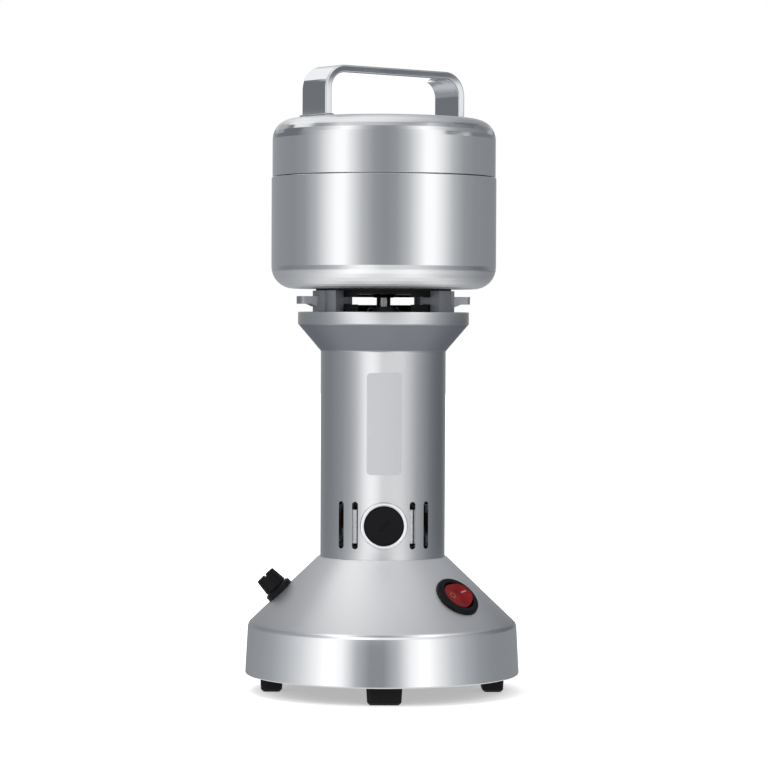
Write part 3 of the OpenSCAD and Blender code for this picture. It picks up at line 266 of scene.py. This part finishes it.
def fuse_part(name, finish, rods, round_mm):
    """Rods on the fuse's axis, each from one place to another in millimetres, with rounded rims."""
    part = bmesh.new()
    for start, end, radius in rods:
        rod = bmesh.ops.create_cone(part, cap_ends=True, segments=48, radius1=radius, radius2=radius,
                                    depth=end - start, matrix=Matrix.Translation((0, 0, (start + end) / 2)))
        rims = {edge for vert in rod["verts"] for edge in vert.link_edges
                if max(len(face.verts) for face in edge.link_faces) > 4}
        bmesh.ops.bevel(part, geom=list(rims), offset=round_mm, segments=3, profile=0.5, affect="EDGES",
                        material=-1)
    bmesh.ops.transform(part, matrix=fuse_frame @ Matrix.Scale(0.001, 4), verts=part.verts)
    piece = made_piece(name, part, finish)
    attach(piece, "fuse")
    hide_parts("fuse_link")


# Nickelled brass: bright and slightly yellow, rubbed by the clips in streaks of 2 mm.
nickel, shader, place = finish_of("nickelled_brass_cap", Base_Color=linear("#C8C8C0"), Metallic=1.0)
rub = add(nickel, "TexNoise", {"Vector": place, "Scale": 1000 / 2, "Detail": 3.0}).outputs["Fac"]
worked(nickel, shader, rub, 0.003, 0.15, 0.3)
fuse_part("fuse_end_caps", nickel, [(FUSE_INNER, FUSE_INNER + CAP_LEN, CAP_R),
                                    (FUSE_OUTER - CAP_LEN, FUSE_OUTER, CAP_R)], 0.4)
# Fuse glass: clear, with the drawn tube's faint waves of 3 mm.
fuse_glass, shader, place = finish_of("drawn_fuse_glass", Base_Color=linear("#F2F6F4"), IOR=1.5,
                                      Transmission_Weight=1.0)
waves = add(fuse_glass, "TexNoise", {"Vector": place, "Scale": 1000 / 3, "Detail": 1.0}).outputs["Fac"]
worked(fuse_glass, shader, waves, 0.01, 0.02, 0.05)
fuse_part("fuse_glass_tube", fuse_glass, [(FUSE_INNER + CAP_LEN - GLASS_IN_CAP,
                                           FUSE_OUTER - CAP_LEN + GLASS_IN_CAP, GLASS_R)], 0.2)
# Tinned wire: dull silver, with solder in 0.5 mm runs.
tinned, shader, place = finish_of("tinned_fuse_wire", Base_Color=linear("#A9A9A6"), Metallic=1.0)
runs = add(tinned, "TexNoise", {"Vector": place, "Scale": 1000 / 0.5, "Detail": 2.0}).outputs["Fac"]
worked(tinned, shader, runs, 0.01, 0.3, 0.5)
fuse_part("fuse_wire", tinned, [(FUSE_INNER + SOLDER_LEN, FUSE_OUTER - SOLDER_LEN, WIRE_R)], 0.02)

# Motor housing: an aluminium tube with a flared flange, turned from one casting and left bare. It is duller
# than the base. Turned aluminium: long soft bands, with tool rings drawn at 0.8 mm instead of 0.2 mm. The
# flare below the rim has a rougher, even finish, and its darker colour is painted shade under the rim.
dress(lathe_finish("turned_aluminium", "#CDCED0", 0.8, 0.003, 0.15, 0.24,
                   (170.2, 183.2, "#93969D", "#93969D", 0.5)), "motor_housing")

# Name plate: 0.5 mm aluminium with a silver lacquer, curved to the column and glued on. It is blank.
# Silver lacquer: an even light grey with metal flakes of 0.7 mm that glint a little.
lacquer, shader, place = finish_of("silver_lacquered_plate", Base_Color=linear("#BABBBE"),
                                   Specular_IOR_Level=0.3)
flakes = add(lacquer, "TexNoise", {"Vector": place, "Scale": 1000 / 0.7, "Detail": 2.0}).outputs["Fac"]
worked(lacquer, shader, flakes, 0.008, 0.42, 0.55)
dress(lacquer, "name_plate")

# Brush gear: chromed rings pressed into the housing hold a slotted cap each. Behind them a phenolic tube
# guides the carbon brush, which a coiled spring presses on the commutator.
# Bright chrome: a mirror, with wiping marks about 6 mm wide.
chrome, shader, place = finish_of("bright_chrome", Base_Color=linear("#E6E8EA"), Metallic=1.0)
wipe = add(chrome, "TexNoise", {"Vector": place, "Scale": 1000 / 6, "Detail": 3.0}).outputs["Fac"]
worked(chrome, shader, wipe, 0.002, 0.06, 0.14)
dress(chrome, "brush_ring_front", "brush_ring_rear")

# Brown phenolic: a moulded resin with darker and paler flow of its filler, 2 mm wide.
phenolic, shader, place = finish_of("brown_phenolic", IOR=1.55)
filler = add(phenolic, "TexNoise", {"Vector": place, "Scale": 1000 / 2, "Detail": 5.0,
                                    "Distortion": 1.0}).outputs["Fac"]
worked(phenolic, shader, filler, 0.005, 0.3, 0.45, ("#2E1A10", "#5E3826"))
dress(phenolic, "brush_holder_front", "brush_holder_rear")

# Pressed carbon: dull grey-black, with loose dust in 0.4 mm grains.
carbon, shader, place = finish_of("pressed_carbon", Base_Color=linear("#232324"), Specular_IOR_Level=0.3)
dust = add(carbon, "TexNoise", {"Vector": place, "Scale": 1000 / 0.4, "Detail": 4.0}).outputs["Fac"]
worked(carbon, shader, dust, 0.02, 0.55, 0.8)
dress(carbon, "brush_front", "brush_rear")

# Spring wire: bright drawn steel with 0.5 mm marks from the die.
spring_wire, shader, place = finish_of("bright_spring_wire", Base_Color=linear("#A3A5A8"), Metallic=1.0)
drawn = add(spring_wire, "TexNoise", {"Vector": place, "Scale": 1000 / 0.5, "Detail": 2.0}).outputs["Fac"]
worked(spring_wire, shader, drawn, 0.003, 0.2, 0.35)
dress(spring_wire, "brush_spring_front", "brush_spring_rear")

# Brush leads: flat tinned braids that rise from the coils to the front brush holder, one on each side.
# They show as pale strips behind the two inner slots. Tinned braid: matt silver with a weave, whose lines
# are drawn 2.1 mm apart because finer ones don't show.
LEAD_LOW, LEAD_HIGH, LEAD_Y, LEAD_THICK, LEAD_EDGE = 0.0755, 0.0922, -0.0252, 0.0009, 0.0003
# A wave texture repeats 3.2 times within this length, and 1.6 times where its bands run diagonally.
BRAID_WAVE_MM = 4.8
LEADS = (("brush_lead_left", -0.0165, -0.0131), ("brush_lead_right", 0.0110, 0.0143))
braid, shader, place = finish_of("tinned_copper_braid", Base_Color=linear("#E0E2E4"), Metallic=0.3)
weave = add(braid, "TexWave", {"Vector": place, "Scale": 1000 / BRAID_WAVE_MM, "Distortion": 2.0},
            wave_type="BANDS", bands_direction="DIAGONAL").outputs["Fac"]
worked(braid, shader, weave, 0.08, 0.4, 0.6)
for name, left, right in LEADS:
    lead = bmesh.new()
    bmesh.ops.create_cube(lead, size=1)
    bmesh.ops.scale(lead, vec=(right - left, LEAD_THICK, LEAD_HIGH - LEAD_LOW), verts=lead.verts)
    bmesh.ops.bevel(lead, geom=lead.edges, offset=LEAD_EDGE, segments=2, profile=0.5, affect="EDGES",
                    material=-1)
    bmesh.ops.translate(lead, vec=((left + right) / 2, LEAD_Y, (LEAD_LOW + LEAD_HIGH) / 2), verts=lead.verts)
    brush_lead = made_piece(name, lead, braid)
    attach(brush_lead, "root")

# Bearings and shaft: hardened steel, ground between centres, so the light breaks on the finest of rings.
# Ground bearing steel: a clean mirror with rings drawn at 0.5 mm.
dress(lathe_finish("ground_bearing_steel", "#8E9096", 0.5, 0.002, 0.18, 0.28),
      "lower_bearing_outer", "lower_bearing_balls", "lower_bearing_inner", "upper_bearing_outer",
      "upper_bearing_balls", "upper_bearing_inner", "shaft", "blade_spacer", "blade_washer")

# Motor: stator and armature are stacks of 0.5 mm steel sheets under varnish, drawn as 1 mm ones. The coils
# are enamelled copper wire, wound and dipped, and the commutator is turned copper.
# Varnished laminations: a plain grey metal, striped by the edges of its sheets.
SHEET_HALF = 0.0005
laminations, shader, place = finish_of("varnished_laminations", Base_Color=linear("#6D6F73"), Metallic=1.0)
height = add(laminations, "SeparateXYZ", {"Vector": place}).outputs["Z"]
sheets = add(laminations, "Math", {0: height, 1: SHEET_HALF}, operation="PINGPONG").outputs["Value"]
edge = add(laminations, "MapRange", {"Value": sheets, "From Max": SHEET_HALF}).outputs["Result"]
worked(laminations, shader, edge, 0.08, 0.35, 0.6)
dress(laminations, "stator_core", "armature_core")

# Enamelled copper wire: red-brown turns with darker gaps, drawn 2.8 mm apart, under a clear gloss.
WINDING_WAVE_MM = 9
windings, shader, place = finish_of("enamelled_copper_wire", IOR=1.5, Coat_Weight=0.6, Coat_Roughness=0.15)
lay = add(windings, "TexWave", {"Vector": place, "Scale": 1000 / WINDING_WAVE_MM, "Distortion": 1.5,
                                "Detail": 1.0}, bands_direction="Z").outputs["Fac"]
worked(windings, shader, lay, 0.15, 0.25, 0.45, ("#4A1E12", "#9A4A26"))
dress(windings, "stator_coils", "armature_winding")

# Turned copper: a warm metal with rings drawn at 0.4 mm.
dress(lathe_finish("turned_copper", "#C07B52", 0.4, 0.004, 0.2, 0.35), "commutator")

# Neck frame and lower bracket: sand-cast aluminium, blasted with glass beads to an even dull grey.
# Blasted cast aluminium: hardly any bands, with a grain of 0.7 mm that scatters the light.
cast_aluminium, shader, place = finish_of("blasted_cast_aluminium", Metallic=1.0)
grit = add(cast_aluminium, "TexNoise", {"Vector": place, "Scale": 1000 / 0.7, "Detail": 4.0}).outputs["Fac"]
worked(cast_aluminium, shader, grit, 0.03, 0.42, 0.6, ("#97999E", "#B0B2B7"))
dress(cast_aluminium, "neck_frame", "lower_bracket")

# Bowl and lid: drawn from stainless sheet and polished on a mandrel, so the polish runs round the axis.
# Polished stainless: sharp bright bands between dark ones, with rings drawn at 0.7 mm. The drawn radii at
# the foot of the bowl and the top of the lid are left satin, and their pale colour is painted reflection
# of the bright floor at the bowl's foot and a painted highlight on the lid's top.
dress(lathe_finish("polished_stainless", "#CDCED0", 0.7, 0.001, 0.08, 0.15,
                   (190, 209.8, "#F8F8F9", "#F8F8F9", 0.4)), "bowl")
dress(lathe_finish("polished_stainless_lid", "#CDCED0", 0.7, 0.001, 0.08, 0.15,
                   (281.5, 300, "#DEDFE1", "#DEDFE1", 0.4)), "lid_shell")

# Collar and liner: pressed from the same sheet and brushed. Satin stainless: its bands fade into each
# other, with brush rings drawn at 0.6 mm.
dress(lathe_finish("satin_stainless", "#C2C5C8", 0.6, 0.004, 0.28, 0.4), "bowl_collar", "lid_liner")

# Blades: stamped from hard stainless strip and ground. Ground blade steel: bright, with scratches 0.4 mm
# apart that run along the grind.
ground_blade, shader, place = finish_of("ground_blade_steel", Base_Color=linear("#BFC2C6"), Metallic=1.0)
stretched = add(ground_blade, "Mapping", {"Vector": place, "Scale": (0.1, 1.0, 1.0)}).outputs["Vector"]
scratches = add(ground_blade, "TexNoise", {"Vector": stretched, "Scale": 1000 / 0.4,
                                           "Detail": 3.0}).outputs["Fac"]
worked(ground_blade, shader, scratches, 0.006, 0.18, 0.34)
dress(ground_blade, "blade_lower", "blade_upper")

# Lid gasket: a moulded ring of white silicone. It is matt and slightly soft to the eye, with a bloom that
# dulls it in patches of 1.5 mm.
silicone, shader, place = finish_of("white_silicone", Base_Color=linear("#E4E3DF"), IOR=1.41,
                                    Subsurface_Weight=0.15, Subsurface_Scale=0.002)
bloom = add(silicone, "TexNoise", {"Vector": place, "Scale": 1000 / 1.5, "Detail": 2.0}).outputs["Fac"]
worked(silicone, shader, bloom, 0.01, 0.45, 0.6)
dress(silicone, "lid_gasket")

# Handle: a strap of 3.8 mm stainless with its edges broken, bent twice, mirror polished and welded to the
# lid. It is drawn on from its left foot along the bends to the right one.
STRAP_SPAN, STRAP_WIDE, STRAP_THICK, STRAP_HIGH, STRAP_BEND = 0.088, 0.0195, 0.0038, 0.0252, 0.012
STRAP_EDGE = 0.0007
EDGE_LINES = 1.15 * STRAP_EDGE
LID_TOP, HANDLE_TURN = 0.2853, math.radians(37)
BEND_STEPS = 16
on_lid = Matrix.Translation((0, 0, LID_TOP)) @ Matrix.Rotation(HANDLE_TURN, 4, "Z")


def drawn_on(strap, end, move):
    """Draws the strap's end on by one move and returns the new end."""
    grown = bmesh.ops.extrude_face_region(strap, geom=end)["geom"]
    corners = [part for part in grown if isinstance(part, bmesh.types.BMVert)]
    bmesh.ops.transform(strap, matrix=move, verts=corners)
    return [part for part in grown if isinstance(part, bmesh.types.BMFace)]


strap = bmesh.new()
bmesh.ops.create_grid(strap, x_segments=3, y_segments=3, size=0.5)
# The lines of the grid that lie inside go close to its rim, so that the flat faces keep flat reflections.
for vert in strap.verts:
    inside = [0 if abs(part) > 0.4 else EDGE_LINES for part in vert.co[:2]]
    vert.co.x = math.copysign(STRAP_THICK / 2 - inside[0], vert.co.x)
    vert.co.y = math.copysign(STRAP_WIDE / 2 - inside[1], vert.co.y)
bmesh.ops.translate(strap, vec=((STRAP_THICK - STRAP_SPAN) / 2, 0, 0), verts=strap.verts)
corners = [vert for vert in strap.verts if len(vert.link_faces) == 1]
bmesh.ops.bevel(strap, geom=corners, offset=STRAP_EDGE, segments=4, profile=0.5, affect="VERTICES",
                material=-1)
end = drawn_on(strap, strap.faces[:], Matrix.Translation((0, 0, STRAP_HIGH - STRAP_BEND)))
for side in (-1, 1):
    centre = Matrix.Translation((side * (STRAP_SPAN / 2 - STRAP_BEND), 0, STRAP_HIGH - STRAP_BEND))
    for step in range(BEND_STEPS):
        turned = Matrix.Rotation(math.pi / 2 / BEND_STEPS, 4, "Y")
        end = drawn_on(strap, end, centre @ turned @ centre.inverted())
    if side < 0:
        end = drawn_on(strap, end, Matrix.Translation((STRAP_SPAN - 2 * STRAP_BEND, 0, 0)))
drawn_on(strap, end, Matrix.Translation((0, 0, STRAP_BEND - STRAP_HIGH)))
bmesh.ops.recalc_face_normals(strap, faces=strap.faces)
bmesh.ops.transform(strap, matrix=on_lid, verts=strap.verts)

# Mirror stainless: a clear mirror under the faintest haze from the buff, in clouds of 16 mm.
mirror_stainless, shader, place = finish_of("mirror_stainless", Base_Color=linear("#D3D5D8"), Metallic=1.0)
haze = add(mirror_stainless, "TexNoise", {"Vector": place, "Scale": 1000 / 16, "Detail": 2.0}).outputs["Fac"]
worked(mirror_stainless, shader, haze, 0.004, 0.04, 0.1)
dress(mirror_stainless, "handle", "blade_nut")
handle_strap = made_piece("handle_strap", strap, mirror_stainless)
handle_strap.data.shade_smooth()
handle_strap.data.set_sharp_from_angle(angle=math.radians(40))
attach(handle_strap, "lid")
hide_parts("handle")

# Welds: a bead of filler all round each foot of the strap, ground flush at the sides and left matt.
# Weld steel: a dull grey with ripples 0.9 mm apart.
BEAD_WIDE, BEAD_HIGH, BEAD_ROUND = 0.0011, 0.0010, 0.0009
weld_steel, shader, place = finish_of("stainless_weld", Base_Color=linear("#A5A7AA"), Metallic=1.0)
ripples = add(weld_steel, "TexNoise", {"Vector": place, "Scale": 1000 / 0.9, "Detail": 1.0}).outputs["Fac"]
worked(weld_steel, shader, ripples, 0.05, 0.3, 0.45)
welds = bmesh.new()
for side in (-1, 1):
    bead = bmesh.ops.create_cube(welds, size=1)["verts"]
    bmesh.ops.scale(welds, vec=(STRAP_THICK + 2 * BEAD_WIDE, STRAP_WIDE + 2 * BEAD_WIDE, 2 * BEAD_HIGH),
                    verts=bead)
    bmesh.ops.translate(welds, vec=(side * (STRAP_SPAN - STRAP_THICK) / 2, 0, 0), verts=bead)
bmesh.ops.bevel(welds, geom=welds.edges, offset=BEAD_ROUND, segments=4, profile=0.5, affect="EDGES",
                material=-1)
bmesh.ops.bisect_plane(welds, geom=welds.verts[:] + welds.edges[:] + welds.faces[:], plane_co=(0, 0, 0),
                       plane_no=(0, 0, -1), clear_outer=True)
bmesh.ops.holes_fill(welds, edges=[edge for edge in welds.edges if edge.is_boundary])
bmesh.ops.transform(welds, matrix=on_lid, verts=welds.verts)
handle_welds = made_piece("handle_welds", welds, weld_steel)
handle_welds.data.shade_smooth()
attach(handle_welds, "lid")

# Studio floor: a sheet of white paper that fades into the white behind it. Near the mill it keeps the
# soft shadow, and 0.42 m away it is as white as the backdrop. White paper: matt, and seen by no gloss.
FLOOR_HALF, FADE_START, FADE_END, GLOW_AT_MILL = 6, 0.1, 0.42, 0.42
paper, shader, place = finish_of("white_paper", Base_Color=linear("#F4F4F4"), Roughness=0.9,
                                 Specular_IOR_Level=0.0)
away = add(paper, "VectorMath", {0: place}, operation="LENGTH").outputs["Value"]
fade = add(paper, "MapRange", {"Value": away, "From Min": FADE_START, "From Max": FADE_END,
                               "To Min": GLOW_AT_MILL, "To Max": 1.0}).outputs["Result"]
seen = add(paper, "LightPath").outputs
ray = add(paper, "Math", {0: seen["Is Camera Ray"], 1: seen["Is Transmission Ray"]}, operation="ADD",
          use_clamp=True).outputs[0]
strength = add(paper, "Math", {0: fade, 1: ray}, operation="MULTIPLY").outputs[0]
paper.node_tree.links.new(strength, shader.inputs["Emission Strength"])
shader.inputs["Emission Color"].default_value = (1, 1, 1, 1)
# From below the sheet is clear, so that the mill can be looked at from there too.
underneath = add(paper, "NewGeometry").outputs["Backfacing"]
clear = add(paper, "BsdfTransparent").outputs["BSDF"]
both = add(paper, "MixShader", {0: underneath, 1: shader.outputs["BSDF"], 2: clear}).outputs["Shader"]
paper.node_tree.links.new(both, paper.node_tree.nodes["Material Output"].inputs["Surface"])
floor_sheet = bmesh.new()
bmesh.ops.create_grid(floor_sheet, x_segments=1, y_segments=1, size=FLOOR_HALF)
studio_floor = made_piece("studio_floor", floor_sheet, paper)
studio_floor.visible_glossy = False

# Backdrop: a white world. It lights plain surfaces softly from all sides, at a lower level than is seen.
LIGHT_LEVEL = 0.55
world = bpy.data.worlds.new("studio_world")
bpy.context.scene.world = world
world.use_nodes = True
air = world.node_tree.nodes["Background"]
air.inputs["Color"].default_value = (1, 1, 1, 1)
seen = add(world, "LightPath").outputs
ray = add(world, "Math", {0: seen["Is Camera Ray"], 1: seen["Is Glossy Ray"]}, operation="ADD").outputs[0]
ray = add(world, "Math", {0: ray, 1: seen["Is Transmission Ray"]}, operation="ADD", use_clamp=True).outputs[0]
level = add(world, "MapRange", {"Value": ray, "To Min": LIGHT_LEVEL, "To Max": 1.0}).outputs["Result"]
world.node_tree.links.new(level, air.inputs["Strength"])

# Tent: a closed drum of paper round the mill, lit in strips from outside and seen only by its gloss. Each
# strip of its wall is named for what mirrors it first, and given as turns from the camera's side in
# degrees, to the right, with the brightness there.
TENT_RADIUS, TENT_LOW, TENT_HIGH = 0.3, -0.12, 0.62
BRIGHTEST = 1.6
SKIRT_STRIP = ((-150, 0.3), (-112, 0.375), (-96, 0.44), (-80, 0.59), (-66, 0.81), (-53.5, 1.1), (-42, 1.4),
               (-31, 1.19), (-20, 0.55), (-10, 0.325), (0, 0.33), (10, 0.58), (20, 1.12), (31, 1.4),
               (42, 1.04), (53.5, 0.7), (66, 0.5), (80, 0.37), (96, 0.315), (139, 0.3))
COLUMN_STRIP = ((-180, 0.42), (-135, 0.3), (-118, 0.29), (-101, 0.33), (-85, 0.39), (-70, 0.456), (-57, 0.6),
                (-45, 0.82), (-33, 1.3), (-22, 1.5), (-11, 1.35), (-3, 1.05), (22, 1.06), (33, 1.02),
                (45, 0.82), (57, 0.606), (70, 0.445), (85, 0.33), (101, 0.227), (118, 0.184), (135, 0.18),
                (150, 0.3), (180, 0.42))
# From the bowl up, the strips have the same bands in front and differ at the sides, where the handle's
# legs, its bar and its bends each mirror another height of the wall.
FRONT_BANDS = ((-67.3, 0.735), (-54.6, 1.28), (-46, 1.6), (-38, 1.6), (-31.8, 1.26), (-20.9, 0.735),
               (-10, 0.47), (0, 0.41), (10, 0.47), (20.9, 0.735), (31.8, 1.26), (38, 1.6))
RIGHT_EDGE = ((46, 1.6), (54.6, 1.28), (67.3, 0.735))
BOWL_STRIP = (((-180, 1.3), (-171, 1.2), (-163, 0.45), (-145, 0.42), (-98, 0.4), (-81, 0.47)) + FRONT_BANDS
              + RIGHT_EDGE + ((81, 0.47), (98, 0.4), (145, 0.33), (163, 0.4), (171, 1.2), (180, 1.3)))
LEG_STRIP = (((-180, 0.5), (-140, 0.3), (-125, 0.24), (-90, 0.24), (-81, 0.47)) + FRONT_BANDS
             + ((50, 1.5), (60, 1.2), (86, 1.2), (93, 0.25), (150, 0.3), (180, 0.5)))
BAR_STRIP = (((-180, 0.8), (-150, 0.7), (-122, 0.24), (-96, 0.24), (-91, 0.4), (-81, 0.47)) + FRONT_BANDS
             + ((46, 1.6), (56, 1.2), (62, 0.2), (87, 0.2), (92, 0.4), (150, 0.6), (180, 0.8)))
BEND_STRIP = (((-180, 0.6), (-130, 0.6), (-122, 0.24), (-96, 0.24), (-91, 0.45)) + FRONT_BANDS + RIGHT_EDGE
              + ((81, 0.47), (98, 0.4), (114, 0.32), (130, 0.28), (180, 0.7)))
UPPER_STRIP = (((-180, 0.6), (-168, 0.8), (-158, 1.2), (-108, 1.3), (-97, 1.2), (-90, 0.5), (-81, 0.47))
               + FRONT_BANDS + RIGHT_EDGE + ((81, 0.45), (98, 0.34), (114, 0.24), (130, 0.2), (180, 0.6)))
# Each strip with the heights between which it takes over from the one below it.
STRIPS = ((SKIRT_STRIP, None), (COLUMN_STRIP, (0.03, 0.05)), (BOWL_STRIP, (0.188, 0.199)),
          (LEG_STRIP, (0.303, 0.307)), (BAR_STRIP, (0.326, 0.329)), (BEND_STRIP, (0.348, 0.354)),
          (UPPER_STRIP, (0.44, 0.448)))


def cool(tone):
    """A brightness as a colour for the paper: the darker it is, the bluer."""
    shade = max(0, 1 - tone)
    return [tone / BRIGHTEST * (1 + part * shade) for part in (-0.08, -0.015, 0.06)] + [1]


def bands_of(paper, share, bands):
    """The paper's colour at a share of the way along its bands, each given by its share and brightness."""
    tones = add(paper, "ValToRGB", {"Fac": share})
    stops = tones.color_ramp.elements
    while len(stops) < len(bands):
        stops.new(0.5)
    for stop, (position, tone) in zip(stops, bands):
        stop.position, stop.color = position, cool(tone)
    return tones.outputs["Color"]


def tent_paper(name):
    """A new paper for the tent, still without its glow."""
    paper = bpy.data.materials.new(name)
    paper.use_nodes = True
    paper.node_tree.nodes.remove(paper.node_tree.nodes["Principled BSDF"])
    return paper


def glow_through(paper, colour, strength=BRIGHTEST):
    """Lights the paper from outside."""
    glow = add(paper, "Emission", {"Color": colour, "Strength": strength}).outputs["Emission"]
    paper.node_tree.links.new(glow, paper.node_tree.nodes["Material Output"].inputs["Surface"])


wall_paper = tent_paper("tent_wall")
parts = add(wall_paper, "SeparateXYZ", {"Vector": add(wall_paper, "TexCoord").outputs["Object"]}).outputs
behind = add(wall_paper, "Math", {0: parts["Y"], 1: -1.0}, operation="MULTIPLY").outputs["Value"]
turn = add(wall_paper, "Math", {0: parts["X"], 1: behind}, operation="ARCTAN2").outputs["Value"]
round_share = add(wall_paper, "MapRange", {"Value": turn, "From Min": -math.pi,
                                           "From Max": math.pi}).outputs["Result"]
wall_tone = None
for strip, seam in STRIPS:
    tone = bands_of(wall_paper, round_share, [(0.5 + degrees / 360, level) for degrees, level in strip])
    if seam:
        share = add(wall_paper, "MapRange", {"Value": parts["Z"], "From Min": seam[0],
                                             "From Max": seam[1]}).outputs["Result"]
        tone = add(wall_paper, "MixRGB", {"Fac": share, "Color1": wall_tone, "Color2": tone}).outputs["Color"]
    wall_tone = tone
glow_through(wall_paper, wall_tone)

# The drum's roof is brightest over the left of the mill and dims towards the wall, and its floor is even.
ROOF_MIDDLE, ROOF_REACH = (-0.11, -0.02, TENT_HIGH), 0.48
ROOF_TONES = ((0.0, 1.3), (0.15, 1.1), (0.3, 0.6), (ROOF_REACH, 0.35))
TENT_FLOOR_TONE = 0.8
roof_paper = tent_paper("tent_roof")
spot = add(roof_paper, "TexCoord").outputs["Object"]
reach = add(roof_paper, "VectorMath", {0: spot, 1: ROOF_MIDDLE}, operation="DISTANCE").outputs["Value"]
reach_share = add(roof_paper, "MapRange", {"Value": reach, "From Max": ROOF_REACH}).outputs["Result"]
roof_bands = [(distance / ROOF_REACH, tone) for distance, tone in ROOF_TONES]
glow_through(roof_paper, bands_of(roof_paper, reach_share, roof_bands))
low_paper = tent_paper("tent_floor")
glow_through(low_paper, (1, 1, 1, 1), TENT_FLOOR_TONE)

drum = bmesh.new()
half_way_up = Matrix.Translation((0, 0, (TENT_HIGH + TENT_LOW) / 2))
bmesh.ops.create_cone(drum, cap_ends=True, segments=128, radius1=TENT_RADIUS, radius2=TENT_RADIUS,
                      depth=TENT_HIGH - TENT_LOW, matrix=half_way_up)
for face in drum.faces:
    face.material_index = 0 if abs(face.normal.z) < 0.5 else 1 if face.calc_center_median().z > 0 else 2
studio_tent = made_piece("studio_tent", drum, wall_paper, roof_paper, low_paper)
for sight in ("camera", "diffuse", "transmission", "shadow", "volume_scatter"):
    setattr(studio_tent, "visible_" + sight, False)

# Lamps: two soft boxes in front, to the left and right, and one overhead to the left. The metal doesn't
# show them, as it mirrors the tent.
MILL_MIDDLE = Vector((0, 0, 0.15))


def soft_box(name, degrees, distance, height, width, tall, watts):
    """A rectangular lamp at that turn from the camera's side, facing the mill."""
    lamp = bpy.data.lights.new(name, "AREA")
    lamp.shape, lamp.size, lamp.size_y, lamp.energy = "RECTANGLE", width, tall, watts
    box = bpy.data.objects.new(name, lamp)
    angle = math.radians(degrees)
    box.location = (distance * math.sin(angle), -distance * math.cos(angle), height)
    box.rotation_euler = (MILL_MIDDLE - box.location).to_track_quat("-Z", "Y").to_euler()
    box.visible_glossy = False
    bpy.context.scene.collection.objects.link(box)


soft_box("left_box", degrees=-56, distance=1.4, height=0.9, width=0.6, tall=1.0, watts=9)
soft_box("right_box", degrees=34, distance=1.4, height=0.9, width=0.6, tall=1.0, watts=7)
soft_box("top_box", degrees=-90, distance=0.35, height=1.5, width=0.9, tall=0.9, watts=9)

# Camera: it stands 1.49 m in front of the mill, a little above the middle of the column and a hair to the
# left, with a lens that takes in 384 mm at the motor's axis. It leans a quarter of a degree.
CAMERA_DISTANCE, CAMERA_HEIGHT, AIM_HEIGHT, VIEW_WIDTH = 1.49, 0.1855, 0.1535, 0.384
CAMERA_SIDE, CAMERA_STEP, CAMERA_LEAN = math.radians(-1.2), 0.00042, math.radians(0.25)
SENSOR_MM = 36
lens = bpy.data.cameras.new("studio_camera")
lens.sensor_width = SENSOR_MM
lens.lens = SENSOR_MM * CAMERA_DISTANCE / VIEW_WIDTH
camera = bpy.data.objects.new("studio_camera", lens)
step = Vector((math.cos(CAMERA_SIDE), math.sin(CAMERA_SIDE), 0)) * CAMERA_STEP
camera.location = Vector((CAMERA_DISTANCE * math.sin(CAMERA_SIDE), -CAMERA_DISTANCE * math.cos(CAMERA_SIDE),
                          CAMERA_HEIGHT)) + step
aim = Vector((0, 0, AIM_HEIGHT)) + step - camera.location
camera.rotation_euler = (aim.to_track_quat("-Z", "Y") @ Quaternion((0, 0, 1), CAMERA_LEAN)).to_euler()
bpy.context.scene.collection.objects.link(camera)
bpy.context.scene.camera = camera
bpy.context.scene.view_settings.view_transform = "Standard"
